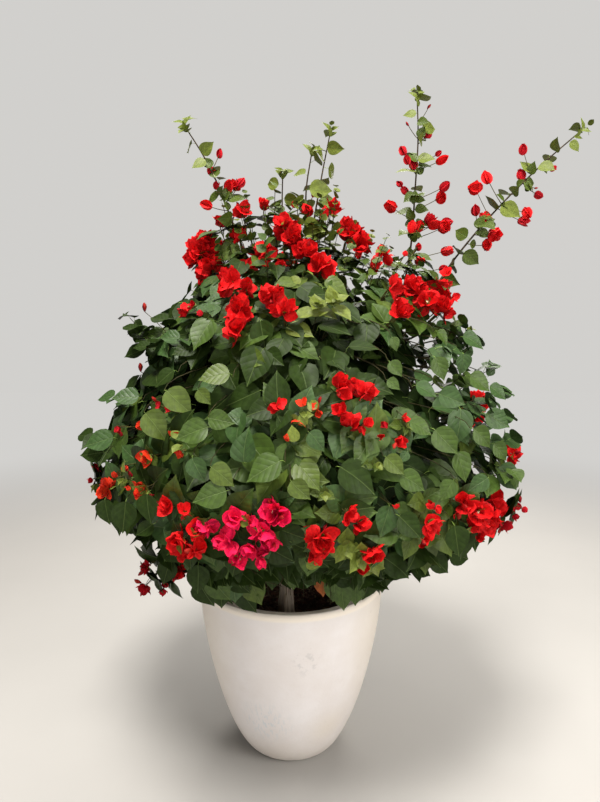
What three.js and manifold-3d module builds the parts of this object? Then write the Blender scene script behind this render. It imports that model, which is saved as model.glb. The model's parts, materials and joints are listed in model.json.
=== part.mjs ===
// A bougainvillea bush in a round planter. Millimetres, +Z up, the planter's underside centred on the origin.
// The bush is one trunk with boughs in three rings. Each bough ends at its own mass of foliage, and every
// mass keeps to its own cell of the crown. Long shoots and sprays of blossom stand on the masses' twigs.
import * as THREE from "three";
import { mergeVertices } from "three/addons/utils/BufferGeometryUtils.js";
import Module from "manifold-3d";

const wasm = await Module();
wasm.setup();

// Driving dimensions of the planter and its filling
const POT_RADIUS = 275;
const POT_HEIGHT = 523;
const POT_FOOT_RADIUS = 132.5;
const POT_BELLY = 1.62;
const POT_SHOULDER = 0.709;
const POT_WALL = 20;
const POT_FLOOR = 26;
const POT_SIDES = 32;
const RIM_DEPTH = 20;
const RIM_WIDTH = 37;
const SOIL_TOP = 388;
const GAP = 0.3;
const MERGE = 1e-4;
const OUTER_SHARES = [0.03, 0.08, 0.16, 0.27, 0.41, 0.58, 0.79];
const HOLLOW_HEIGHTS = [POT_FLOOR, 90, 210, SOIL_TOP, POT_HEIGHT - 2 * RIM_DEPTH];

// The rolled rim and the rounded edge of the foot: places in from the widest radius and down from the top,
// and places out from the foot's radius and up from the ground
const RIM_SECTION = [[0, 13], [3, 5], [10, 0], [RIM_WIDTH - 12, 4], [RIM_WIDTH, 12], [RIM_WIDTH - 3, 24]];
const FOOT_SECTION = [[-3, 0], [5, 4.5]];

// The crown's outline: at each height, its reach to the right, to the left, and to the front and back
const CROWN_ROWS = [
  [545, 295, 285, 292],
  [610, 430, 350, 345],
  [660, 570, 410, 420],
  [720, 625, 475, 495],
  [810, 620, 570, 545],
  [935, 595, 575, 550],
  [1050, 585, 505, 515],
  [1180, 525, 405, 445],
  [1260, 500, 440, 400],
  [1340, 415, 335, 320],
  [1400, 325, 265, 260],
  [1475, 150, 150, 140],
];

// Rings of foliage masses: how many, at which height, how far out as a share of the reach, the first one's
// azimuth in degrees, and where their boughs leave the trunk
const RINGS = [
  { name: "low", count: 6, height: 725, share: 0.62, first: -60, fork: 560, rise: 14, bough: 13 },
  { name: "mid", count: 5, height: 975, share: 0.58, first: -90, fork: 715, rise: 14, bough: 12 },
  { name: "high", count: 4, height: 1205, share: 0.54, first: -100, fork: 865, rise: 14, bough: 10 },
];
const TOP_HEIGHT = 1365;

// A mass stays this far from its cell's borders. Its core takes a share of the reach, and more of it aside,
// where the border is nearer than the outline. A twig is left out where the border is much the nearer.
const CELL_MARGIN = 1.5;
const REACH_STEP = 5;
const CORE_SHARE = 0.62;
const CORE_ASIDE = 0.35;
const CORE_FADE = 0.35;
const CORE_OPENING = 2;
const BORDER = 1.4;

// Boughs: where they bend on their way out and up, the bare stem between their tip and the core, their tip,
// and how much wider than the trunk the seat is that their foot is cut to
const BOUGH_BEND = 0.38;
const BOUGH_LIFT = 0.66;
const STEM = 22;
const BOUGH_TIP = 6;
const BOUGH_SIDES = 5;
const BOUGH_STEPS = 4;
const SEAT = 1.5 * GAP;

// The trunk: places on its axis, and its thickness
const TRUNK_AXIS = [
  [-14, 0, SOIL_TOP + GAP],
  [-14, 0, 450],
  [-10, 4, 600],
  [-3, 7, 800],
  [5, 4, 1000],
  [2, 0, 1195],
];
const TRUNK_RADIUS = 21;
const TRUNK_TIP_RADIUS = 7;
const TRUNK_TAPER = 1.2;
const TRUNK_STEPS = 9;
const FLARE = 15;
const FLARE_HEIGHT = 45;
const RIBS = 5;
const RIB_DEPTH = 0.09;

// Leaves and twigs. A leaf may stand a little beyond the crown's outline, and keeps clear of the limbs.
const LEAF_LENGTH = 150;
const LEAF_SMALLEST = 0.85;
const LEAF_RANGE = 0.3;
const LEAF_OUTWARD = 0.3;
const LEAF_DOWNWARD = 0.2;
const LEAF_BEYOND = 14;
const CLEARANCE = 2;
const LEAF = { width: 0.74, widest: 0.42, fold: 0.07, droop: 0.1 };
const BRACT = { width: 0.95, widest: 0.55, fold: 0.1, droop: 0.06 };
const TWIG_DIRECTIONS = 22;
const TWIG_SHARE = 0.84;
const TWIG_FOOT = 7;
const TWIG_TIP = 5;
const LEAF_PLACES = [0.82, 0.87, 0.91, 0.95, 0.985];
const LEAF_TRIES = [[0, 1], [0.35, 0.95], [-0.35, 0.95], [0.7, 0.85], [-0.7, 0.85], [0, 0.7]];
const GOLDEN_ANGLE = Math.PI * (3 - Math.sqrt(5));
const MASS_SEED = 101;
const SEED_STEP = 17;
const BALL_SPACING = 5;

// Sprays of blossom: azimuth in degrees, distance from the axis, height and radius
const SPRAYS = [
  [-163, 215, 1452, 66],
  [-117, 190, 1447, 60],
  [-82, 140, 1494, 62],
  [-8, 182, 1500, 64],
  [-43, 375, 1352, 68],
  [-20, 422, 1346, 68],
  [-96, 352, 1326, 66],
  [-74, 478, 1132, 62],
  [-132, 562, 958, 66],
  [-94, 562, 852, 76],
  [-113, 560, 842, 62],
  [-147, 418, 640, 52],
  [-76, 562, 834, 60],
  [-58, 574, 850, 58],
  [-43, 598, 862, 62],
  [-31, 622, 836, 54],
  [14, 590, 1000, 58],
  [72, 440, 1215, 60],
  [118, 560, 900, 60],
  [158, 470, 1120, 58],
];
const BRACT_WHORLS = [
  { count: 3, opening: 84, height: -0.12 },
  { count: 3, opening: 46, height: 0.12 },
];
const BRACT_SHARE = 0.8;
const STALK_SHARE = 0.2;
const SPRAY_ASIDE = [0.3, 0.9, 0.2];
const SPRAY_TURN = 1.2;

// Long shoots: a name, the place in the crown that each grows from, and places on its way up to its tip
const SHOOTS = [
  {
    name: "shoot_left",
    foot: [-112, -35, 1440],
    way: [[-150, -45, 1530], [-198, -50, 1655], [-236, -45, 1730], [-288, -40, 1811]],
  },
  {
    name: "shoot_short",
    foot: [-18, 25, 1455],
    way: [[-21, 30, 1530], [-24, 32, 1620], [-22, 30, 1697]],
  },
  {
    name: "shoot_middle",
    foot: [38, -12, 1455],
    way: [[44, -20, 1540], [44, -30, 1640], [60, -35, 1745]],
  },
  {
    name: "shoot_upright",
    foot: [55, 48, 1450],
    way: [[66, 55, 1560], [90, 60, 1700], [116, 62, 1830]],
  },
  {
    name: "shoot_tall",
    foot: [328, 35, 1368],
    way: [[347, 30, 1500], [354, 25, 1650], [358, 20, 1790], [351, 15, 1912]],
  },
  {
    name: "shoot_leaning",
    foot: [386, -28, 1342],
    way: [[455, -30, 1450], [560, -30, 1578], [685, -30, 1704], [802, -30, 1806]],
  },
];
const CANE_FOOT = 4.2;
const CANE_TIP = 1.6;
const CANE_START = 18;
const CANE_STEP = 75;
const CANE_FEWEST = 5;
const CANE_SEED = 900;
const CANE_ASIDE = [0.2, 1, 0.1];

// A cane's leaves and pairs of bracts: their spacing, the bare foot below them, their sizes, how far the
// leaves shrink towards the tip, how steeply they rise, and how far a pair's bracts stand apart
const CANE_NODE = 60;
const CANE_BARE = 95;
const CANE_LEAF = 84;
const CANE_BRACT = 58;
const CANE_SHRINK = 0.4;
const CANE_RISE = { least: 0.5, range: 0.4 };
const CANE_TURN = 3;
const PAIR_ANGLE = 1.3;

const FINISHES = {
  pot: new THREE.MeshStandardMaterial({ color: 0xd8d2c6, roughness: 0.8, metalness: 0 }),
  soil: new THREE.MeshStandardMaterial({ color: 0x4a3328, roughness: 1, metalness: 0 }),
  bark: new THREE.MeshStandardMaterial({ color: 0x7c6a58, roughness: 0.9, metalness: 0 }),
  leaf: new THREE.MeshStandardMaterial({ color: 0x33602f, roughness: 0.55, metalness: 0 }),
  shoot: new THREE.MeshStandardMaterial({ color: 0x6b8a3d, roughness: 0.6, metalness: 0 }),
  bract: new THREE.MeshStandardMaterial({ color: 0xd4141c, roughness: 0.6, metalness: 0 }),
};

const plant = new THREE.Group();
const UP = new THREE.Vector3(0, 0, 1);

function vector(place) {
  return new THREE.Vector3(...place);
}

// The place at an azimuth, a distance from the upright axis and a height
function aroundAxis(azimuth, distance, height) {
  return new THREE.Vector3(distance * Math.cos(azimuth), distance * Math.sin(azimuth), height);
}

// The same numbers each time, from 0 up to 1
function seededRandom(seed) {
  let state = seed >>> 0;
  return () => {
    state = (state + 0x6d2b79f5) >>> 0;
    let mixed = Math.imul(state ^ (state >>> 15), state | 1);
    mixed ^= mixed + Math.imul(mixed ^ (mixed >>> 7), mixed | 61);
    return ((mixed ^ (mixed >>> 14)) >>> 0) / 4294967296;
  };
}

// A geometry with only positions, its shared vertices merged
function bare(geometry) {
  geometry.deleteAttribute("normal");
  geometry.deleteAttribute("uv");
  return mergeVertices(geometry, MERGE);
}

function solidOf(geometry) {
  const merged = bare(geometry);
  const vertProperties = new Float32Array(merged.attributes.position.array);
  const triVerts = new Uint32Array(merged.index.array);
  return new wasm.Manifold(new wasm.Mesh({ numProp: 3, vertProperties, triVerts }));
}

// The largest body of a solid, so that a loose scrap is dropped and a sealed hollow filled
function geometryOf(solid) {
  const bodies = solid.decompose().sort((a, b) => b.volume() - a.volume());
  const mesh = bodies[0].getMesh();
  const geometry = new THREE.BufferGeometry();
  geometry.setAttribute("position", new THREE.BufferAttribute(new Float32Array(mesh.vertProperties), 3));
  geometry.setIndex(new THREE.BufferAttribute(new Uint32Array(mesh.triVerts), 1));
  return geometry;
}

function addMesh(name, geometry, finish) {
  const mesh = new THREE.Mesh(geometry, finish);
  mesh.name = name;
  plant.add(mesh);
}

// The planter's outer radius at a share of its height
function potRadius(share) {
  const belly = (1 - (1 - share) ** POT_BELLY) ** POT_SHOULDER;
  return POT_FOOT_RADIUS + (POT_RADIUS - POT_FOOT_RADIUS) * belly;
}

// The planter's inner wall, from its floor up to the underside of its rim
function potHollow() {
  return HOLLOW_HEIGHTS.map((height) => new THREE.Vector2(potRadius(height / POT_HEIGHT) - POT_WALL, height));
}

function lathe(profile) {
  const geometry = new THREE.LatheGeometry(profile, POT_SIDES);
  geometry.rotateX(Math.PI / 2);
  return bare(geometry);
}

function makePot() {
  const profile = [
    new THREE.Vector2(0, 0),
    ...FOOT_SECTION.map(([out, height]) => new THREE.Vector2(POT_FOOT_RADIUS + out, height)),
    ...OUTER_SHARES.map((share) => new THREE.Vector2(potRadius(share), share * POT_HEIGHT)),
    ...RIM_SECTION.map(([inwards, down]) => new THREE.Vector2(POT_RADIUS - inwards, POT_HEIGHT - down)),
    ...potHollow().reverse(),
    new THREE.Vector2(0, POT_FLOOR),
  ];
  addMesh("pot", lathe(profile), FINISHES.pot);
}

function makeSoil() {
  const wall = potHollow().slice(0, -1);
  const profile = [
    new THREE.Vector2(0, POT_FLOOR + GAP),
    ...wall.map((place, row) => new THREE.Vector2(place.x - 2 * GAP, place.y + (row === 0 ? GAP : 0))),
    new THREE.Vector2(0, SOIL_TOP),
  ];
  addMesh("soil", lathe(profile), FINISHES.soil);
}

// How far the crown reaches from its axis at a height and an azimuth
function crownReach(height, azimuth) {
  const last = CROWN_ROWS.length - 1;
  const level = THREE.MathUtils.clamp(height, CROWN_ROWS[0][0], CROWN_ROWS[last][0]);
  const row = Math.min(last - 1, CROWN_ROWS.findLastIndex((each) => each[0] <= level));
  const [below, above] = [CROWN_ROWS[row], CROWN_ROWS[row + 1]];
  const share = (level - below[0]) / (above[0] - below[0]);
  const [, right, left, depth] = below.map((value, k) => value + (above[k] - value) * share);
  const sideways = Math.cos(azimuth) ** 2;
  return sideways * (Math.cos(azimuth) > 0 ? right : left) + (1 - sideways) * depth;
}

function insideCrown(place, beyond = 0) {
  const [bottom, top] = [CROWN_ROWS[0][0], CROWN_ROWS.at(-1)[0]];
  if (place.z < bottom - beyond || place.z > top + beyond) return false;
  return Math.hypot(place.x, place.y) < crownReach(place.z, Math.atan2(place.y, place.x)) + beyond;
}

// A closed limb of round or ribbed section along a curve; its radius depends on the share of its length
// and on the angle round it
function limb(curve, radiusAt, sides, steps) {
  const geometry = new THREE.CylinderGeometry(1, 1, 1, sides, steps);
  const frames = curve.computeFrenetFrames(steps, false);
  const rings = Array.from({ length: steps + 1 }, (_, k) => {
    const normal = frames.normals[k];
    const side = new THREE.Vector3().crossVectors(normal, frames.tangents[k]);
    return { centre: curve.getPointAt(k / steps), normal, side };
  });
  const places = geometry.attributes.position;
  for (let i = 0; i < places.count; i += 1) {
    const ring = Math.round((places.getY(i) + 0.5) * steps);
    const angle = Math.atan2(places.getZ(i), places.getX(i));
    const radius = radiusAt(ring / steps, angle);
    const place = rings[ring].centre.clone();
    place.addScaledVector(rings[ring].normal, radius * places.getX(i));
    place.addScaledVector(rings[ring].side, radius * places.getZ(i));
    places.setXYZ(i, place.x, place.y, place.z);
  }
  return bare(geometry);
}

// A straight three-sided twig
function twig(from, to, footRadius, tipRadius) {
  const radiusAt = (share) => THREE.MathUtils.lerp(footRadius, tipRadius, share);
  return limb(new THREE.LineCurve3(from, to), radiusAt, 3, 1);
}

// A folded leaf or bract of four faces, from its root along its midrib, which is a ridge on the side that
// faces a direction. Its two edges lie lower, so it is thickest in the middle.
function blade(root, along, facing, length, { width, widest, fold, droop }) {
  const geometry = bare(new THREE.TetrahedronGeometry(Math.sqrt(3), 0));
  const forward = along.clone().normalize();
  const across = new THREE.Vector3().crossVectors(forward, facing).normalize();
  const upper = new THREE.Vector3().crossVectors(across, forward);
  const places = geometry.attributes.position;
  for (let i = 0; i < places.count; i += 1) {
    const onward = Math.round((places.getX(i) + places.getY(i)) / 2);
    const aside = Math.round((places.getX(i) - places.getY(i)) / 2);
    const way = onward === 0 ? widest : (1 + onward) / 2;
    const place = root.clone().addScaledVector(forward, way * length);
    place.addScaledVector(across, (aside * width * length) / 2);
    place.addScaledVector(upper, (-Math.abs(aside) * fold - way * droop) * length);
    places.setXYZ(i, place.x, place.y, place.z);
  }
  return geometry;
}

function verticesOf(geometry) {
  const places = geometry.attributes.position;
  return Array.from({ length: places.count }, (_, i) => new THREE.Vector3().fromBufferAttribute(places, i));
}

// Whether a geometry keeps at least a gap clear of balls, each a place with a radius
function clearOf(balls, geometry, gap) {
  geometry.computeBoundingSphere();
  const bound = geometry.boundingSphere;
  const within = (ball) => ball.centre.distanceTo(bound.center) < bound.radius + ball.radius + gap;
  const near = balls.filter(within);
  if (near.length === 0) return true;
  const places = verticesOf(geometry);
  const index = geometry.index.array;
  const closest = new THREE.Vector3();
  for (let i = 0; i < index.length; i += 3) {
    const face = new THREE.Triangle(places[index[i]], places[index[i + 1]], places[index[i + 2]]);
    for (const ball of near) {
      face.closestPointToPoint(ball.centre, closest);
      if (closest.distanceTo(ball.centre) < ball.radius + gap) return false;
    }
  }
  return true;
}

// Balls along a limb's axis
function ballsAlong(curve, radiusAt) {
  const count = Math.ceil(curve.getLength() / BALL_SPACING);
  return Array.from({ length: count + 1 }, (_, k) => {
    return { centre: curve.getPointAt(k / count), radius: radiusAt(k / count, 0) };
  });
}

const trunkCurve = new THREE.CatmullRomCurve3(TRUNK_AXIS.map(vector));

// The trunk's radius, with its root flare and shallow ribs that fade towards the tip
function trunkRadius(share, angle) {
  const height = share * (TRUNK_AXIS.at(-1)[2] - SOIL_TOP);
  const taper = THREE.MathUtils.lerp(TRUNK_RADIUS, TRUNK_TIP_RADIUS, share ** TRUNK_TAPER);
  const flare = FLARE * Math.exp(-height / FLARE_HEIGHT);
  return (taper + flare) * (1 + RIB_DEPTH * (1 - share) * Math.cos(RIBS * angle));
}

// The place on the trunk's axis at a height
function trunkAt(height) {
  const places = trunkCurve.getSpacedPoints(Math.round(trunkCurve.getLength()));
  return places.find((place) => place.z >= height);
}

function makeTrunk() {
  addMesh("trunk", limb(trunkCurve, trunkRadius, 2 * RIBS, TRUNK_STEPS), FINISHES.bark);
}

// Each mass: its name, its centre, its seed and how its bough leaves the trunk
function planMasses() {
  const masses = RINGS.flatMap((ring) =>
    Array.from({ length: ring.count }, (_, k) => {
      const azimuth = THREE.MathUtils.degToRad(ring.first + (360 * k) / ring.count);
      const distance = ring.share * crownReach(ring.height, azimuth);
      const centre = aroundAxis(azimuth, distance, ring.height);
      const fork = ring.fork + ring.rise * ((2 * k) % ring.count);
      return { name: `${ring.name}_${k + 1}`, centre, fork, foot: ring.bough };
    }),
  );
  masses.push({ name: "top", centre: new THREE.Vector3(0, 0, TOP_HEIGHT), fork: null });
  masses.forEach((mass, k) => {
    mass.seed = MASS_SEED + SEED_STEP * k;
    mass.outward = mass.fork === null ? UP.clone() : mass.centre.clone().setZ(0).normalize();
    mass.walls = masses.filter((other) => other !== mass).map((other) => {
      const normal = other.centre.clone().sub(mass.centre).normalize();
      const middle = other.centre.clone().add(mass.centre).multiplyScalar(0.5);
      return { normal, offset: normal.dot(middle) - CELL_MARGIN };
    });
  });
  return masses;
}

function insideCell(mass, place) {
  return mass.walls.every((wall) => wall.normal.dot(place) <= wall.offset);
}

// How far it is from a mass's centre to the border of its cell, to the crown's outline and to the nearer one
function cellReach(mass, direction) {
  const place = mass.centre.clone();
  let outline = 0;
  while (insideCrown(place)) {
    outline += REACH_STEP;
    place.addScaledVector(direction, REACH_STEP);
  }
  const border = mass.walls.reduce((nearest, wall) => {
    const slope = wall.normal.dot(direction);
    return slope > 0 ? Math.min(nearest, (wall.offset - wall.normal.dot(mass.centre)) / slope) : nearest;
  }, Infinity);
  return { border, outline, distance: Math.min(border, outline) };
}

// How far a mass's core reaches: further towards its neighbours than towards the outline or the trunk
function coreReach(mass, direction) {
  const reach = cellReach(mass, direction);
  const facing = direction.dot(mass.outward);
  const aside = THREE.MathUtils.clamp((reach.outline / reach.border - 1) / CORE_FADE, 0, 1);
  const open = THREE.MathUtils.clamp(1 + CORE_OPENING * facing, 0, 1);
  return reach.distance * (CORE_SHARE + CORE_ASIDE * aside * open);
}

// A bough rises from the trunk and bends out to the core of its mass
function planBough(mass) {
  if (mass.fork === null) {
    mass.entry = trunkCurve.getPointAt(1);
    mass.entryWay = trunkCurve.getTangentAt(1);
    return;
  }
  const foot = trunkAt(mass.fork);
  const bend = foot.clone().lerp(mass.centre, BOUGH_BEND);
  bend.z = THREE.MathUtils.lerp(foot.z, mass.centre.z, BOUGH_LIFT);
  const way = mass.centre.clone().sub(bend).normalize();
  const inner = coreReach(mass, way.clone().negate());
  mass.entry = mass.centre.clone().addScaledVector(way, -inner - STEM);
  mass.entryWay = way;
  mass.bough = new THREE.QuadraticBezierCurve3(foot, bend, mass.entry);
  mass.boughRadius = (share) => THREE.MathUtils.lerp(mass.foot, BOUGH_TIP, share);
}

function makeBough(mass, trunkSpace) {
  const whole = solidOf(limb(mass.bough, mass.boughRadius, BOUGH_SIDES, BOUGH_STEPS));
  addMesh(`bough_${mass.name}`, geometryOf(whole.subtract(trunkSpace)), FINISHES.bark);
}

// A mass's smaller core, shaped like its cell
function coreOf(mass) {
  const geometry = bare(new THREE.DodecahedronGeometry(1, 0));
  const places = geometry.attributes.position;
  for (let i = 0; i < places.count; i += 1) {
    const direction = new THREE.Vector3().fromBufferAttribute(places, i).normalize();
    const place = mass.centre.clone();
    place.addScaledVector(direction, coreReach(mass, direction));
    places.setXYZ(i, place.x, place.y, place.z);
  }
  return geometry;
}

// Directions spread evenly over a ball, turned by a seeded angle
function spreadDirections(count, turn) {
  return Array.from({ length: count }, (_, k) => {
    const height = 1 - (2 * k + 1) / count;
    const ring = Math.sqrt(1 - height * height);
    const angle = k * GOLDEN_ANGLE + turn;
    return new THREE.Vector3(ring * Math.cos(angle), ring * Math.sin(angle), height);
  });
}

// The way a leaf points at a place on a twig: down and aside, and a little outwards
function leafWay(outward, angle) {
  const aside = new THREE.Vector3(-outward.y, outward.x, 0).normalize();
  const down = new THREE.Vector3().crossVectors(aside, outward);
  const way = down.multiplyScalar(Math.cos(angle)).addScaledVector(aside, Math.sin(angle));
  return way.addScaledVector(outward, LEAF_OUTWARD).addScaledVector(UP, -LEAF_DOWNWARD).normalize();
}

// A leaf that fits its mass's space, clear of limbs and of the leaves already there, or null
function fittingLeaf(mass, root, outward, angle, length, limbs, leaves) {
  for (const [turn, scale] of LEAF_TRIES) {
    const way = leafWay(outward, angle + turn);
    const geometry = blade(root, way, outward, length * scale, LEAF);
    const fits = verticesOf(geometry).every(
      (place) => insideCell(mass, place) && insideCrown(place, LEAF_BEYOND),
    );
    if (!fits || !clearOf(limbs, geometry, CLEARANCE)) continue;
    const solid = solidOf(geometry.clone());
    if (leaves.every((other) => other.intersect(solid).volume() === 0)) return solid;
  }
  return null;
}

function makeMass(mass, limbs) {
  const random = seededRandom(mass.seed);
  const stemFoot = mass.entry.clone().addScaledVector(mass.entryWay, GAP);
  let solid = solidOf(coreOf(mass));
  solid = solid.add(solidOf(twig(stemFoot, mass.centre, BOUGH_TIP, BOUGH_TIP)));
  for (const carrier of mass.carriers) {
    solid = solid.add(solidOf(twig(mass.centre, carrier.end, TWIG_FOOT, carrier.radius)));
  }
  const leaves = [];
  for (const direction of spreadDirections(TWIG_DIRECTIONS, 2 * Math.PI * random())) {
    const reach = cellReach(mass, direction);
    const length = TWIG_SHARE * reach.distance;
    const lean = random();
    if (reach.outline > BORDER * reach.border) continue;
    const end = mass.centre.clone().addScaledVector(direction, length);
    const branch = twig(mass.centre, end, TWIG_FOOT, TWIG_TIP);
    if (!clearOf(limbs, branch, CLEARANCE)) continue;
    solid = solid.add(solidOf(branch));
    LEAF_PLACES.forEach((share, k) => {
      const root = mass.centre.clone().addScaledVector(direction, share * length);
      const size = LEAF_LENGTH * (LEAF_SMALLEST + LEAF_RANGE * random());
      const leaf = fittingLeaf(mass, root, direction, 2 * lean + k * GOLDEN_ANGLE, size, limbs, leaves);
      if (leaf !== null) leaves.push(leaf);
    });
  }
  solid = leaves.reduce((whole, leaf) => whole.add(leaf), solid);
  addMesh(`foliage_${mass.name}`, geometryOf(solid), FINISHES.leaf);
}

// The mass whose centre lies nearest to a place
function massAt(masses, place) {
  return masses.reduce((best, mass) =>
    mass.centre.distanceTo(place) < best.centre.distanceTo(place) ? mass : best,
  );
}

function planSprays(masses) {
  return SPRAYS.map(([azimuth, distance, height, radius], k) => {
    const angle = THREE.MathUtils.degToRad(azimuth);
    const centre = aroundAxis(angle, distance, height);
    const mass = massAt(masses, centre);
    const way = centre.clone().sub(mass.centre).normalize();
    const end = centre.clone().addScaledVector(way, -radius);
    mass.carriers.push({ end, radius: CANE_FOOT });
    return { name: `blossom_${k + 1}`, centre, way, radius, foot: end.clone().addScaledVector(way, GAP) };
  });
}

// A spray of blossom: a stalk with whorls of bracts
function makeSpray(spray) {
  const head = spray.centre.clone().addScaledVector(spray.way, STALK_SHARE * spray.radius);
  let solid = solidOf(twig(spray.foot, head, CANE_FOOT, TWIG_TIP));
  const aside = new THREE.Vector3().crossVectors(spray.way, vector(SPRAY_ASIDE)).normalize();
  const under = spray.way.clone().negate();
  for (const whorl of BRACT_WHORLS) {
    const root = spray.centre.clone().addScaledVector(spray.way, whorl.height * spray.radius);
    const opening = THREE.MathUtils.degToRad(whorl.opening);
    for (let k = 0; k < whorl.count; k += 1) {
      const turn = (2 * Math.PI * k) / whorl.count + SPRAY_TURN;
      const outward = aside.clone().applyAxisAngle(spray.way, turn);
      const along = spray.way.clone().multiplyScalar(Math.cos(opening));
      along.addScaledVector(outward, Math.sin(opening));
      solid = solid.add(solidOf(blade(root, along, under, BRACT_SHARE * spray.radius, BRACT)));
    }
  }
  addMesh(spray.name, geometryOf(solid), FINISHES.bract);
}

function planShoots(masses) {
  return SHOOTS.map((plan, number) => {
    const end = vector(plan.foot);
    const mass = massAt(masses, end);
    const way = end.clone().sub(mass.centre).normalize();
    const foot = end.clone().addScaledVector(way, GAP);
    mass.carriers.push({ end, radius: CANE_FOOT });
    const start = foot.clone().addScaledVector(way, CANE_START);
    const cane = new THREE.CatmullRomCurve3([foot, start, ...plan.way.map(vector)]);
    return { name: plan.name, seed: CANE_SEED + number, cane };
  });
}

function caneRadius(share) {
  return THREE.MathUtils.lerp(CANE_FOOT, CANE_TIP, share);
}

// A shoot: a slim cane with small leaves and pairs of bracts in turn
function makeShoot(shoot) {
  const random = seededRandom(shoot.seed);
  const length = shoot.cane.getLength();
  const steps = Math.max(CANE_FEWEST, Math.round(length / CANE_STEP));
  let solid = solidOf(limb(shoot.cane, caneRadius, 3, steps));
  let number = 0;
  for (let way = CANE_BARE; way < length; way += CANE_NODE) {
    const root = shoot.cane.getPointAt(way / length);
    const tangent = shoot.cane.getTangentAt(way / length);
    const turn = number * GOLDEN_ANGLE + random();
    const outward = new THREE.Vector3().crossVectors(tangent, vector(CANE_ASIDE)).normalize();
    outward.applyAxisAngle(tangent, turn);
    const rise = CANE_RISE.least + CANE_RISE.range * random();
    const along = outward.addScaledVector(tangent, rise).normalize();
    const flower = number % CANE_TURN === 1;
    const size = flower ? CANE_BRACT : CANE_LEAF * (1 - (CANE_SHRINK * way) / length);
    solid = solid.add(solidOf(blade(root, along, tangent, size, flower ? BRACT : LEAF)));
    if (flower) {
      const other = along.clone().applyAxisAngle(tangent, PAIR_ANGLE);
      solid = solid.add(solidOf(blade(root, other, tangent, size, BRACT)));
    }
    number += 1;
  }
  addMesh(shoot.name, geometryOf(solid), FINISHES.shoot);
}

const masses = planMasses();
masses.forEach((mass) => {
  mass.carriers = [];
  planBough(mass);
});
const sprays = planSprays(masses);
const shoots = planShoots(masses);
const boughs = masses.filter((mass) => mass.bough);

const limbs = [
  ...ballsAlong(trunkCurve, trunkRadius),
  ...boughs.flatMap((mass) => ballsAlong(mass.bough, mass.boughRadius)),
  ...shoots.flatMap((shoot) => ballsAlong(shoot.cane, caneRadius)),
  ...sprays.map((spray) => ({ centre: spray.centre, radius: spray.radius - CLEARANCE })),
];

makePot();
makeSoil();
makeTrunk();
const seatedRadius = (share, angle) => trunkRadius(share, angle) + SEAT;
const trunkSpace = solidOf(limb(trunkCurve, seatedRadius, 2 * RIBS, TRUNK_STEPS));
boughs.forEach((mass) => makeBough(mass, trunkSpace));
masses.forEach((mass) => makeMass(mass, limbs));
shoots.forEach(makeShoot);
sprays.forEach(makeSpray);

export default plant;
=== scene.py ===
"""The looks of a bougainvillea bush in a round planter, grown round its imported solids.

Metres, +Z up, the planter's underside centred on the origin, the front towards -Y.
The limbs, masses and twigs follow the same rule as the solids, carried on to finer twigs and leaves.
"""

import json
import math
from functools import cache
from types import SimpleNamespace

import bpy
from mathutils import Matrix, Quaternion, Vector, noise

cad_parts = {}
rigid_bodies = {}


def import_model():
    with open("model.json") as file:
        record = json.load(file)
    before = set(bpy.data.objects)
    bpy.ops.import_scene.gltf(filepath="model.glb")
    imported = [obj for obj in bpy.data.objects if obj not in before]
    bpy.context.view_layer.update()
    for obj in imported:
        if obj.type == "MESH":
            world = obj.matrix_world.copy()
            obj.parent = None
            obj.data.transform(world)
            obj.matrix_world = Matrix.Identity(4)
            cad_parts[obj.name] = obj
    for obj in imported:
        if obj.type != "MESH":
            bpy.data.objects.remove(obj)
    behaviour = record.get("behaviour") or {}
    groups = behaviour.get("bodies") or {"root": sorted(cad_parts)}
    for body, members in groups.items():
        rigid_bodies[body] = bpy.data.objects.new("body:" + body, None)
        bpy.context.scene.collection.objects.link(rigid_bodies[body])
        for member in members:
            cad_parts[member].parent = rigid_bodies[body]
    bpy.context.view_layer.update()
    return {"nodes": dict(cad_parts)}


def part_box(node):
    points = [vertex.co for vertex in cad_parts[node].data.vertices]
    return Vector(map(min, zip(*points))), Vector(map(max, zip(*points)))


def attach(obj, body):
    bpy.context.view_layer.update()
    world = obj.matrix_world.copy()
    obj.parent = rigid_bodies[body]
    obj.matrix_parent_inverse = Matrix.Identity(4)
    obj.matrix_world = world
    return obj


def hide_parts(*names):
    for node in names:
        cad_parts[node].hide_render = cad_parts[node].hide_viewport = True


bl_info = {
    "name": "Potted bougainvillea",
    "version": (1, 0, 0),
    "blender": (4, 5, 0),
    "location": "3D View > Sidebar > Bush",
    "description": "Builds the planter, limbs, leaves and blossom of a potted bougainvillea",
    "category": "Object",
}

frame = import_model()
UP = Vector((0, 0, 1))
GOLDEN_ANGLE = math.pi * (3 - math.sqrt(5))
BAKE_UV = "OFBake"

# The photograph's viewpoint: the eye, how far down it looks, and the picture's measures in pixels. Some
# lists below say where a thing shows in it, across and down in pixels, some with its distance along Y
EYE = Vector((0.027, -1.745, 1.284))
EYE_PITCH = math.radians(7.6)
PHOTO_FOCUS = 600
PHOTO_MIDDLE = (300, 401)
PHOTO_HEIGHT = 802
FILM_HEIGHT = 36

# A sight line is followed to the crown from here, in these steps, till it is this near to the outline
SIGHT_START = -0.75
SIGHT_STEP = 0.004
SIGHT_SHORT = 0.006

# The planter and its filling, measured on the frame, and the shape of the planter's wall
POT_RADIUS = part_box("pot")[1].x
POT_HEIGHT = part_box("pot")[1].z
SOIL_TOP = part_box("soil")[1].z
POT_FOOT_RADIUS = 0.1325
POT_BELLY = 1.62
POT_SHOULDER = 0.709
POT_WALL = 0.020
POT_FLOOR = 0.026
RIM_DEPTH = 0.020
GAP = 0.0003
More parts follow.
